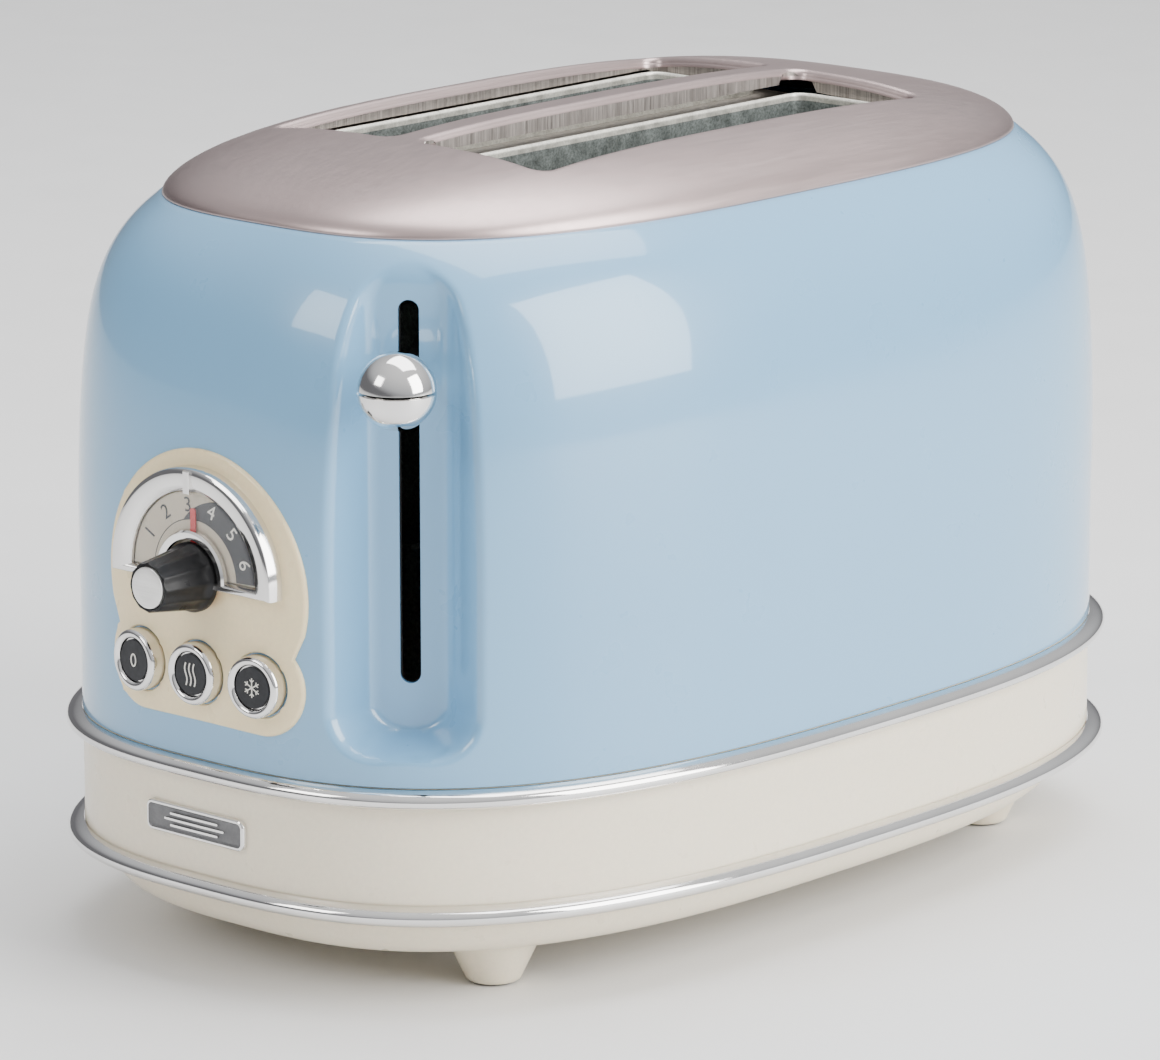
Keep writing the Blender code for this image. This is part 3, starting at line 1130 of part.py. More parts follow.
def electromagnet():
    """Holding magnet on the pan's floor: yoke, coil and pole."""
    y = CARRIAGE_FRONT_Y - ARMATURE_LENGTH / 2.0
    bottom = PAN_FLOOR_Z + GAP
    yoke_top = bottom + MAGNET_YOKE_HEIGHT
    yoke = box((ARMATURE_X - MAGNET_HALF_WIDTH, y - MAGNET_HALF_WIDTH, bottom),
               (ARMATURE_X + MAGNET_HALF_WIDTH, y + MAGNET_HALF_WIDTH, yoke_top))
    magnet = add_object("electromagnet", yoke, dark_grey_plastic(), (ARMATURE_X, y, bottom))
    join(magnet, "coil", tube_z((ARMATURE_X, y), MAGNET_COIL_RADIUS, yoke_top - MAGNET_YOKE_HEIGHT / 2.0,
                                MAGNET_TOP_Z - MAGNET_POLE_RISE, 20))
    return join(magnet, "pole", tube_z((ARMATURE_X, y), MAGNET_POLE_RADIUS, yoke_top, MAGNET_TOP_Z, 16))


# ---------------------------------------------------------------- controls
def control_fascia():
    """Curved panel set into the shell, with holes for the knob's shaft and the buttons."""
    block = prism_y(fascia_outline(), HUB_FACE_Y - FASCIA_THICKNESS, HUB_FACE_Y + FASCIA_CURVE_DEPTH)
    fascia = add_object("control_fascia", block, warm_cream(), smooth=35)
    face = add_object("cutter_control_fascia_face", shell_solid(FASCIA_PROUD, SHELL_BOTTOM_Z, SHELL_TOP_Z))
    boolean(fascia, face, "INTERSECT")
    cut(fascia, "back", shell_solid(FASCIA_PROUD - FASCIA_THICKNESS, SHELL_BOTTOM_Z, SHELL_TOP_Z))
    cut(fascia, "shaft_hole", tube_y((0.0, HUB_Z), SHAFT_RADIUS + GAP * 2.0, HUB_FACE_Y - FASCIA_THICKNESS,
                                     HUB_FACE_Y + 2.0 * FASCIA_THICKNESS))
    for name, x in BUTTONS:
        hole = turned(((BUTTON_RADIUS + BUTTON_HOLE_MARGIN, -2.0 * BUTTON_SKIRT),
                       (BUTTON_RADIUS + BUTTON_HOLE_MARGIN, 2.0 * BUTTON_SKIRT)), (0.0, 0.0), 20)
        hole.transform(button_matrix(x))
        cut(fascia, f"hole_{name}", hole)
    return fascia


def button_matrix(x):
    """From a button's own axes (its face looks along -Y) to its place on the fascia."""
    place = Vector((x, shell_front_y(x, BUTTON_Z, FASCIA_PROUD), BUTTON_Z))
    angle = front_normal_angle(x, BUTTON_Z) if x else 0.0
    return Matrix.Translation(place) @ Matrix.Rotation(angle, 4, "Z")


def button(name, x):
    """Push button: a rounded cap with a skirt and a stem, and the disc let into its face."""
    seat = button_matrix(x)
    origin = seat.translation
    front = -BUTTON_PROUD
    round_start = front + BUTTON_EDGE_ROUND
    profile = [(BUTTON_STEM_RADIUS, button_stem_end(x)), (BUTTON_STEM_RADIUS, BUTTON_SKIRT),
               (BUTTON_RADIUS, BUTTON_SKIRT), (BUTTON_RADIUS, round_start)]
    for turn in (30.0, 60.0, 90.0):
        a = math.radians(turn)
        profile.append((BUTTON_RADIUS - BUTTON_EDGE_ROUND * (1.0 - math.cos(a)),
                        round_start - BUTTON_EDGE_ROUND * math.sin(a)))
    cap = turned(profile, (0.0, 0.0), 20)
    cap.transform(seat)
    cap_object = add_object(f"{name}_button", cap, chrome(), origin, smooth=40)
    recess = turned(((BUTTON_DISC_RADIUS + GAP, front - BUTTON_EDGE_ROUND),
                     (BUTTON_DISC_RADIUS + GAP, front + BUTTON_DISC_DEPTH + GAP)), (0.0, 0.0), 20)
    recess.transform(seat)
    cut(cap_object, "disc_seat", recess)
    disc = turned(((BUTTON_DISC_RADIUS, front + GAP), (BUTTON_DISC_RADIUS, front + BUTTON_DISC_DEPTH)),
                  (0.0, 0.0), 20)
    disc.transform(seat)
    add_object(f"{name}_button_disc", disc, dark_grey_plastic(), origin, smooth=40)


def button_stem_end(x):
    """How far behind the fascia's face a stem ends, short of its switch by the travel."""
    face_y = shell_front_y(x, BUTTON_Z, FASCIA_PROUD)
    switch_y = BOARD_FRONT_Y - SWITCH_HALF_SIZE
    return switch_y - face_y - BUTTON_TRAVEL - 2.0 * RUNNING_GAP


def half_disc(radius, floor=0.0, steps=16):
    """Upper half of a disc about the hub, with its flat side on or above the hub's level."""
    start = math.degrees(math.asin(floor / radius)) if floor else 0.0
    return arc((0.0, HUB_Z), radius, start, 180.0 - start, steps)


def half_annulus(outer, inner, floor=0.0):
    return half_disc(outer, floor) + list(reversed(half_disc(inner, floor)))


def dial_bezel():
    """Half-round frame of the dial: outer arch, hub arch, base bar and index."""
    bar_bottom = HUB_Z - DIAL_BAR_HEIGHT
    outline = ([(DIAL_OUTER_RADIUS, bar_bottom)] + half_disc(DIAL_OUTER_RADIUS, steps=20)
               + [(-DIAL_OUTER_RADIUS, bar_bottom)])
    back = HUB_FACE_Y + FASCIA_CURVE_DEPTH
    bezel = add_object("dial_bezel", prism_y(outline, BEZEL_FRONT_Y, back), chrome(), smooth=35)
    beyond = BEZEL_FRONT_Y - FASCIA_THICKNESS
    cut(bezel, "window", prism_y(half_annulus(DIAL_INNER_RADIUS, HUB_RING_OUTER_RADIUS), beyond, back + GAP))
    cut(bezel, "chamber", prism_y(half_disc(DIAL_INNER_RADIUS), HUB_RING_BACK_Y, back + GAP))
    cut(bezel, "hub", tube_y((0.0, HUB_Z), HUB_RING_INNER_RADIUS, beyond, back + GAP, 24))
    cut(bezel, "seat", shell_solid(FASCIA_PROUD + GAP, SHELL_BOTTOM_Z, SHELL_TOP_Z))
    ring_middle = HUB_Z + DIAL_INNER_RADIUS
    index = box((-INDEX_HALF_WIDTH, BEZEL_FRONT_Y - INDEX_RISE, ring_middle),
                (INDEX_HALF_WIDTH, BEZEL_FRONT_Y + INDEX_RISE, HUB_Z + DIAL_OUTER_RADIUS - GAP))
    return join(bezel, "index", index)


def dial_face():
    outline = half_annulus(DIAL_INNER_RADIUS - GAP, SHAFT_RADIUS + RUNNING_GAP, GAP)
    return add_object("dial_face", prism_y(outline, DIAL_FACE_Y - DIAL_FACE_SHEET, DIAL_FACE_Y), warm_cream())


def dial_window():
    outline = half_annulus(DIAL_INNER_RADIUS - GAP, HUB_RING_OUTER_RADIUS + GAP, GAP)
    return add_object("dial_window", prism_y(outline, WINDOW_BACK_Y - DIAL_WINDOW_SHEET, WINDOW_BACK_Y),
                      clear_window())


def hub_origin():
    return (0.0, HUB_FACE_Y, HUB_Z)


def dial_pointer():
    """Disc on the shaft with a straight needle."""
    front = POINTER_BACK_Y - DIAL_POINTER_SHEET
    root = math.degrees(math.asin(POINTER_HALF_WIDTH / POINTER_DISC_RADIUS))
    outline = arc((0.0, HUB_Z), POINTER_DISC_RADIUS, 90.0 + root, 450.0 - root, 20)
    outline += [(POINTER_HALF_WIDTH, HUB_Z + POINTER_TIP_RADIUS),
                (-POINTER_HALF_WIDTH, HUB_Z + POINTER_TIP_RADIUS)]
    pointer = add_object("dial_pointer", prism_y(outline, front, POINTER_BACK_Y), pointer_red(), hub_origin())
    return cut(pointer, "shaft", tube_y((0.0, HUB_Z), SHAFT_RADIUS + GAP, front - GAP, POINTER_BACK_Y + GAP))


def knob_body():
    """Tapered knob with shallow flutes, bored for the shaft and seated for its cap."""
    rim_y = KNOB_FRONT_Y + GAP
    sides = KNOB_FLUTES * 3
    rings = []
    for radius, y in ((KNOB_BASE_RADIUS, KNOB_BACK_Y),
                      (KNOB_BASE_RADIUS, KNOB_BACK_Y - 2.0 * RUNNING_GAP),
                      (KNOB_FRONT_RADIUS, rim_y + RUNNING_GAP),
                      (KNOB_FRONT_RADIUS - RUNNING_GAP / 2.0, rim_y)):
        ring = []
        for i in range(sides):
            angle = 2.0 * math.pi * i / sides
            r = radius - KNOB_FLUTE_DEPTH * (0.5 - 0.5 * math.cos(KNOB_FLUTES * angle))
            ring.append((r * math.cos(angle), y, HUB_Z + r * math.sin(angle)))
        rings.append(ring)
    knob = add_object("knob_body", loft(rings), black_plastic(), hub_origin(), smooth=30)
    cut(knob, "cap_seat", tube_y((0.0, HUB_Z), KNOB_CAP_RADIUS + GAP, rim_y - RUNNING_GAP,
                                 KNOB_FRONT_Y + KNOB_CAP_DEPTH + GAP, 20))
    return cut(knob, "bore", tube_y((0.0, HUB_Z), SHAFT_RADIUS + GAP, shaft_front_y() - GAP,
                                    KNOB_BACK_Y + GAP))


def shaft_front_y():
    return KNOB_FRONT_Y + SHAFT_FROM_KNOB_FRONT


def knob_cap():
    disc = tube_y((0.0, HUB_Z), KNOB_CAP_RADIUS, KNOB_FRONT_Y, KNOB_FRONT_Y + KNOB_CAP_DEPTH, 20)
    return add_object("knob_cap", disc, silver_cap(), hub_origin(), smooth=35)


def knob_shaft():
    back = POT_FRONT_Y + SHAFT_INTO_POT
    return add_object("knob_shaft", tube_y((0.0, HUB_Z), SHAFT_RADIUS, shaft_front_y(), back),
                      galvanised_steel(), hub_origin(), smooth=35)


def potentiometer():
    """Browning control behind the fascia; the knob's shaft turns in it."""
    body = tube_y((0.0, HUB_Z), POT_RADIUS, POT_FRONT_Y, POT_FRONT_Y + POT_LENGTH, 16)
    pot = add_object("potentiometer", body, galvanised_steel(), (0.0, POT_FRONT_Y, HUB_Z), smooth=35)
    return cut(pot, "bore", tube_y((0.0, HUB_Z), SHAFT_RADIUS + GAP, POT_FRONT_Y - GAP,
                                   POT_FRONT_Y + SHAFT_INTO_POT + GAP))


def control_board():
    """Circuit board with a switch behind each button and spacers up to the fascia."""
    back = BOARD_FRONT_Y + BOARD_THICKNESS
    board = add_object("control_board", box((-BOARD_HALF_WIDTH, BOARD_FRONT_Y, BOARD_BOTTOM_Z),
                                            (BOARD_HALF_WIDTH, back, BOARD_TOP_Z)), board_green())
    for name, x in BUTTONS:
        join(board, f"switch_{name}", box((x - SWITCH_HALF_SIZE, BOARD_FRONT_Y - SWITCH_HALF_SIZE,
                                           BUTTON_Z - SWITCH_HALF_SIZE),
                                          (x + SWITCH_HALF_SIZE, BOARD_FRONT_Y + BOARD_THICKNESS / 2.0,
                                           BUTTON_Z + SWITCH_HALF_SIZE)))
    for side, name in ((-1, "left"), (1, "right")):
        x = side * (BOARD_HALF_WIDTH - 2.0 * BOARD_SPACER_RADIUS)
        z = BOARD_TOP_Z - 2.0 * BOARD_SPACER_RADIUS
        reach = shell_front_y(abs(x) + BOARD_SPACER_RADIUS, z, FASCIA_PROUD - FASCIA_THICKNESS) + RUNNING_GAP
        join(board, f"spacer_{name}", tube_y((x, z), BOARD_SPACER_RADIUS, reach,
                                             BOARD_FRONT_Y + BOARD_THICKNESS / 2.0, 12))
    return board


# ---------------------------------------------------------------- assembly
def clear_scene():
    for item in list(bpy.data.objects):
        bpy.data.objects.remove(item)


def hang_from_frame():
    """Hang every piece from one empty that centres the whole toaster on the origin."""
    frame = bpy.data.objects.new("toaster_frame", None)
    bpy.context.collection.objects.link(frame)
    frame.location = (0.0, FRAME_SHIFT_Y, 0.0)
    for item in list(bpy.data.objects):
        if item is not frame:
            item.parent = frame


def build():
    clear_scene()
    outer_shell()
    lever_slot_guide()
    top_plate()
    slot_collar()
    trim_ring("upper_trim_ring", UPPER_RING_Z)
    trim_ring("lower_trim_ring", LOWER_RING_Z)
    base_band()
    base_pan()
    foot_pads()
    base_screws()
    cord_gland()
    name_badge()
    tray_panel()
    crumb_tray()
    tray_rails()
    front_chassis_plate()
    rear_chassis_plate()
    reflectors()
    heater_cards()
    bread_guards()
    carriage_plate()
    lift_racks()
    guide_rod()
    return_spring()
    lever_arm()
    lever_ball()
    armature_plate()
    electromagnet()
    control_fascia()
    for name, x in BUTTONS:
        button(name, x)
    dial_bezel()
    dial_face()
    dial_window()
    dial_pointer()
    knob_body()
    knob_cap()
    knob_shaft()
    potentiometer()
    control_board()
    hang_from_frame()


build()
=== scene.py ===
"""Looks of a two-slot pop-up toaster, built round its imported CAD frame.

Every piece is drawn in the body's own coordinates in metres, whose Y = 0 is the middle of the
housing; the frame's boxes say how far that middle stands from the frame's origin. The front, with
the dial and the buttons, faces -Y.
"""
import math

import bmesh
import bpy
from mathutils import Matrix, Vector
from mathutils.geometry import delaunay_2d_cdt


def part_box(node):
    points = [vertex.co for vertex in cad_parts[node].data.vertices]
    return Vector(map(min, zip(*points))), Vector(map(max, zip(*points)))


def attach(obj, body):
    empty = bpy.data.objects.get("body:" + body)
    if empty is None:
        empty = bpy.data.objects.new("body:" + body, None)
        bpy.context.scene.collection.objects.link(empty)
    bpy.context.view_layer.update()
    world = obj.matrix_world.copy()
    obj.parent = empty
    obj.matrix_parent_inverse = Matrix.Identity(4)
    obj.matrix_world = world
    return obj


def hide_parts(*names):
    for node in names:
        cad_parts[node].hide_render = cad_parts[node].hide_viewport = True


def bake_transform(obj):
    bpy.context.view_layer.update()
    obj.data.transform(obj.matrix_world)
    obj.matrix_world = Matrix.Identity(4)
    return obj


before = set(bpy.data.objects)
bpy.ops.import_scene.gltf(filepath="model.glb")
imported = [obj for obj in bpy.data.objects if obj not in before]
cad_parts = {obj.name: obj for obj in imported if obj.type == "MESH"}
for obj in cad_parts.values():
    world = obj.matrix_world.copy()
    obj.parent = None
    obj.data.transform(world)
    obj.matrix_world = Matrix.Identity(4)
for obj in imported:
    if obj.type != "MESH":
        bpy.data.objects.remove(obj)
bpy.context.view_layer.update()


# ---------------------------------------------------------------- sizes
BAND_SHIFT_Y = sum(corner[1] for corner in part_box("base_band")) / 2.0
SHIFT = Vector((0.0, BAND_SHIFT_Y, 0.0))


def low(node):
    """Lower corner of a CAD node's box, in the body's coordinates."""
    x, y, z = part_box(node)[0]
    return x, y - BAND_SHIFT_Y, z


def high(node):
    x, y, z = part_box(node)[1]
    return x, y - BAND_SHIFT_Y, z


def centre_of(node):
    return [(a + b) / 2.0 for a, b in zip(low(node), high(node))]


GAP = 0.0003                    # between pieces that meet

# Housing outline in plan: |x/a|^n + |y/b|^n = 1
BAND_HALF_WIDTH = high("base_band")[0]
BAND_HALF_LENGTH = high("base_band")[1]
PLAN_POWER = 2.8
PLATE_POWER = 3.0
SHELL_HALF_WIDTH = high("outer_shell")[0] + 0.0008
SHELL_HALF_LENGTH = SHELL_HALF_WIDTH - BAND_HALF_WIDTH + BAND_HALF_LENGTH
SHELL_BOTTOM_Z = low("outer_shell")[2]
SHELL_TOP_Z = high("outer_shell")[2]
BORDER_Z = SHELL_TOP_Z + GAP
SHELL_WALL = 0.0012
SHELL_DRAFT = 0.0008
SHOULDER_START_Z = 0.100
SHOULDER_SOFT = 0.0085
SHOULDER_TIGHT = 0.0146
SHELL_LEDGE = 0.0055
PAN_WALL = 0.002
PAN_FLOOR_Z = 0.0125
PAN_LIP_INSET = 0.0012
PAN_LIP_HEIGHT = 0.0012
PAN_INSET = 0.006
PAN_FLOOR_INSET = 0.016
PAN_HOLE_DEPTHS = (0.010, 0.020)
CORNERS = ("front_left", "front_right", "rear_left", "rear_right")
PLATE_INSET = SHELL_DRAFT + SHOULDER_SOFT + SHOULDER_TIGHT
PLATE_HALF_WIDTH = SHELL_HALF_WIDTH - PLATE_INSET
PLATE_HALF_LENGTH = SHELL_HALF_LENGTH - PLATE_INSET
DOME_HEIGHT = high("top_plate")[2] - BORDER_Z
DOME_EDGE_POWER = 3.42
DOME_ROUND_POWER = 0.56
DOME_END_DROP = 0.064

# Bread slots and the collar under them
SLOT_X = 0.0268
SLOT_HALF_WIDTH = 0.0218
SLOT_HALF_LENGTH = 0.077
SLOT_CORNER = 0.004
LIP_ROUND = 0.0020
PLATE_SHEET = 0.0009
FLANGE_BOTTOM_Z = 0.2095
FLANGE_FALL = 0.05              # flange's lower edge drops this much for each metre of X outwards
FLANGE_END_DROP = 0.0018        # and this much more along a slot's two ends
NOTCH_REACH = 0.0075            # relief notch at each flange corner, either side of the corner
NOTCH_RISE = 0.0032
COLLAR_Z = 0.2053
COLLAR_SHEET = 0.001
THROAT_HALF_WIDTH = SLOT_HALF_WIDTH - 0.0033
THROAT_HALF_LENGTH = SLOT_HALF_LENGTH - 0.0025
THROAT_BOTTOM_Z = low("slot_collar")[2]
BEAD_TOP_Z = high("slot_collar")[2]

# Lever and its recess
LEVER_X = 0.058
LEVER_REFERENCE_Z = 0.140
RECESS_DEPTH = 0.015
RECESS_FLOOR_HALF_WIDTH = 0.010
RECESS_SIDE_SLOPE = 0.75
RECESS_END_SLOPE = 0.25
RECESS_BOTTOM_Z = 0.072
RECESS_TOP_Z = 0.1945
RECESS_CORNER = 0.008
RECESS_LIP = 0.0032             # how softly the recess's edge turns over
LEVER_SLOT_HALF_WIDTH = 0.0027
LEVER_SLOT_BOTTOM_Z = 0.0847
LEVER_SLOT_TOP_Z = 0.1853
BALL_OUT = 0.007
BALL_RADIUS = (high("lever_knob_upper")[0] - low("lever_knob_upper")[0]) / 2.0
BALL_Z = (low("lever_knob_lower")[2] + high("lever_knob_upper")[2]) / 2.0

# Control panel
HUB_Z = centre_of("knob_body")[2]
DIAL_OUTER_RADIUS = high("dial_bezel")[0]
DIAL_RIM = 0.0063
HUB_RING_OUTER_RADIUS = 0.0123
HUB_RING_INNER_RADIUS = 0.0098
DIAL_BAR_HEIGHT = HUB_Z - low("dial_bezel")[2]
INDEX_RISE = 0.0007             # index mark in front of the bezel's face
BEZEL_FRONT_Y = low("dial_bezel")[1] + INDEX_RISE
FASCIA_ARCH_RADIUS = 0.0357
FASCIA_ARCH_BELOW_HUB = 0.0027
FASCIA_LOBE_RADIUS = 0.0132
FASCIA_LOBE_X = 0.0215
FASCIA_LOBE_Z = 0.0841
FASCIA_ARCH_END = -14.0
FASCIA_LOBE_START = 40.0
FASCIA_PROUD = 0.001
FASCIA_THICKNESS = 0.003
FASCIA_GAP = 0.0007
BUTTON_Z = 0.0845
BUTTON_PITCH = 0.0213
BUTTON_RADIUS = 0.0082
BUTTON_RIM = 0.0027
BUTTON_PROUD = 0.0038
BUTTONS = (("cancel", -BUTTON_PITCH), ("reheat", 0.0), ("defrost", BUTTON_PITCH))

PLAN_STEPS = 240


def shoulder_rise(z):
    return max(0.0, (z - SHOULDER_START_Z) / (BORDER_Z - SHOULDER_START_Z))


def shoulder_inset(z):
    rise = shoulder_rise(z)
    return SHELL_DRAFT + SHOULDER_SOFT * rise ** 2 + SHOULDER_TIGHT * rise ** 8


def plan_power(z):
    return PLAN_POWER + (PLATE_POWER - PLAN_POWER) * shoulder_rise(z)


def plan_point(angle, half_width, half_length, power):
    c, s = math.cos(angle), math.sin(angle)
    reach = (abs(c) ** power + abs(s) ** power) ** (-1.0 / power)
    return half_width * reach * c, half_length * reach * s


def even_angles(steps=PLAN_STEPS):
    return [2.0 * math.pi * i / steps for i in range(steps)]


def plan_ring(half_width, half_length, power, z, angles=None):
    ring = []
    for angle in angles or even_angles():
        x, y = plan_point(angle, half_width, half_length, power)
        ring.append((x, y, z))
    return ring


def band_ring(out, z, angles=None):
    """The band's outline, grown outwards."""
    return plan_ring(BAND_HALF_WIDTH + out, BAND_HALF_LENGTH + out, PLAN_POWER, z, angles)


def outline_y(x, half_width, half_length, power=PLAN_POWER):
    """Y of the back half of a plan outline at x."""
    return half_length * (1.0 - (abs(x) / half_width) ** power) ** (1.0 / power)


def band_y(x, out):
    return outline_y(x, BAND_HALF_WIDTH + out, BAND_HALF_LENGTH + out)


def shell_plan(z, offset=0.0):
    """Half width, half length and power of the shell's outline at a height, offset outwards."""
    inset = shoulder_inset(z) - offset
    return SHELL_HALF_WIDTH - inset, SHELL_HALF_LENGTH - inset, plan_power(z)


def shell_front_y(x, z, offset=0.0):
    return -outline_y(x, *shell_plan(z, offset))


def front_normal_angle(x, z):
    """Angle of the shell's horizontal normal, from -Y towards +X."""
    half_width, half_length, power = shell_plan(z)
    along_x = (abs(x) / half_width) ** (power - 1.0) / half_width
    along_y = (abs(shell_front_y(x, z)) / half_length) ** (power - 1.0) / half_length
    return math.copysign(math.atan2(along_x, along_y), x)


HUB_FACE_Y = shell_front_y(0.0, HUB_Z, FASCIA_PROUD)
LEVER_ANGLE = front_normal_angle(LEVER_X, LEVER_REFERENCE_Z)
LEVER_POINT = Vector((LEVER_X, shell_front_y(LEVER_X, LEVER_REFERENCE_Z), 0.0))
ACROSS = Vector((math.cos(LEVER_ANGLE), math.sin(LEVER_ANGLE), 0.0))
OUTWARDS = Vector((math.sin(LEVER_ANGLE), -math.cos(LEVER_ANGLE), 0.0))


def to_lever(across, out, z):
    return LEVER_POINT + ACROSS * across + OUTWARDS * out + Vector((0.0, 0.0, z))


def smooth_min(a, b, softness):
    near = max(softness - abs(a - b), 0.0) / softness
    return min(a, b) - near * near * softness / 4.0


def smooth_max(a, b, softness):
    return -smooth_min(-a, -b, softness)


# ---------------------------------------------------------------- outlines
def arc(centre, radius, start, end, steps):
    angles = [math.radians(start + (end - start) * i / steps) for i in range(steps + 1)]
    return [(centre[0] + radius * math.cos(a), centre[1] + radius * math.sin(a)) for a in angles]


def circle(centre, radius, sides):
    return arc(centre, radius, 0.0, 360.0, sides)[:-1]


def rectangle(x0, y0, x1, y1):
    return [(x0, y0), (x1, y0), (x1, y1), (x0, y1)]


def rounded_rectangle(x0, y0, x1, y1, radius, steps=8):
    corners = (((x1 - radius, y1 - radius), 0), ((x0 + radius, y1 - radius), 90),
               ((x0 + radius, y0 + radius), 180), ((x1 - radius, y0 + radius), 270))
    points = []
    for centre, start in corners:
        points += arc(centre, radius, start, start + 90, steps)
    return points


def stadium(half_width, bottom, top, sides=16):
    return (arc((0.0, top - half_width), half_width, 0.0, 180.0, sides)
            + arc((0.0, bottom + half_width), half_width, 180.0, 360.0, sides))


def fascia_outline(margin=0.0):
    arch = (0.0, HUB_Z - FASCIA_ARCH_BELOW_HUB)
    lobe = (FASCIA_LOBE_X, FASCIA_LOBE_Z)
    right = (arc(lobe, FASCIA_LOBE_RADIUS + margin, -90.0, FASCIA_LOBE_START, 22)
             + arc(arch, FASCIA_ARCH_RADIUS + margin, FASCIA_ARCH_END, 90.0, 40))
    left = [(-x, z) for x, z in reversed(right[:-1])]
    return right + left


def slot_outline(side, grow=0.0, half_width=SLOT_HALF_WIDTH, half_length=SLOT_HALF_LENGTH):
    """One bread slot in plan."""
    middle = side * SLOT_X
    half_width += grow
    half_length += grow
    return rounded_rectangle(middle - half_width, -half_length, middle + half_width, half_length,
                             SLOT_CORNER + grow)


def throat_outline(side, grow):
    return slot_outline(side, grow, THROAT_HALF_WIDTH, THROAT_HALF_LENGTH)


def subdivided(outline, spacing):
    """The same closed outline with extra points along its long edges."""
    points = []
    for (ax, ay), (bx, by) in zip(outline, outline[1:] + outline[:1]):
        count = max(1, round(math.hypot(bx - ax, by - ay) / spacing))
        for i in range(count):
            points.append((ax + (bx - ax) * i / count, ay + (by - ay) * i / count))
    return points


def inside(point, outline):
    """Whether a point is inside a closed outline."""
    x, y = point
    crossed = False
    for (ax, ay), (bx, by) in zip(outline, outline[1:] + outline[:1]):
        if (ay > y) != (by > y) and x < (bx - ax) * (y - ay) / (by - ay) + ax:
            crossed = not crossed
    return crossed


# ---------------------------------------------------------------- mesh helpers
def piece(name, parts, finishes, body="root", stands_for=(), sharp=40.0):
    """Make one piece of (vertices, faces, finish index) parts drawn in body coordinates."""
    points, faces, slots = [], [], []
    for part in parts:
        part_points, part_faces = part[0], part[1]
        start = len(points)
        points += [Vector(p) + SHIFT for p in part_points]
        faces += [[start + i for i in face] for face in part_faces]
        slots += [part[2] if len(part) > 2 else 0] * len(part_faces)
    mesh = bpy.data.meshes.new(name)
    mesh.from_pydata(points, [], faces)
    for polygon, slot in zip(mesh.polygons, slots):
        polygon.material_index = slot
    mesh.validate()
    skin = bmesh.new()
    skin.from_mesh(mesh)
    bmesh.ops.recalc_face_normals(skin, faces=skin.faces)
    skin.to_mesh(mesh)
    skin.free()
    mesh.shade_smooth()
    mesh.set_sharp_from_angle(angle=math.radians(sharp))
    for finish in finishes:
        mesh.materials.append(finish)
    made = bpy.data.objects.new(name, mesh)
    bpy.context.collection.objects.link(made)
    if body is not None:
        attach(made, body)
    if stands_for:
        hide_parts(*stands_for)
    return made


def loft(rings, caps=True, closed=False):
    """Skin through rings of equally many points; closed joins the last ring to the first."""
    count = len(rings[0])
    points = [point for ring in rings for point in ring]
    faces = []
    spans = len(rings) if closed else len(rings) - 1
    for level in range(spans):
        low_start = level * count
        high_start = (level + 1) % len(rings) * count
        for i in range(count):
            j = (i + 1) % count
            faces.append((low_start + i, low_start + j, high_start + j, high_start + i))
    if caps and not closed:
        faces.append(tuple(reversed(range(count))))
        faces.append(tuple(range((len(rings) - 1) * count, len(rings) * count)))
    return points, faces


def along_z(x, y, z):
    return x, y, z


def along_y(x, z, y):
    return x, y, z


def slab(outline, place, near, far):
    """Solid between two depths over an outline; place(u, v, depth) gives the point."""
    return loft([[place(u, v, depth) for u, v in outline] for depth in (near, far)])


def box(lower, upper):
    return slab(rectangle(lower[0], lower[1], upper[0], upper[1]), along_z, lower[2], upper[2])


def turned(profile, matrix, sides=64):
    """Solid of revolution about the matrix's Y axis; profile is (radius, y), back to front."""
    rings = [[matrix @ Vector((x, y, z)) for x, z in circle((0.0, 0.0), radius, sides)]
             for radius, y in profile]
    return loft(rings)


def wire(path, radius, sides=8, closed=False):
    """Round wire along a list of points."""
    rings = []
    count = len(path)
    for i, point in enumerate(path):
        after = path[(i + 1) % count] if closed or i + 1 < count else point
        before = path[i - 1] if closed or i > 0 else point
        along = (Vector(after) - Vector(before)).normalized()
        side = along.cross(Vector((0.31, 0.52, 0.79))).normalized()
        up = side.cross(along)
        rings.append([Vector(point) + side * radius * math.cos(a) + up * radius * math.sin(a)
                      for a in (2.0 * math.pi * k / sides for k in range(sides))])
    return loft(rings, closed=closed)


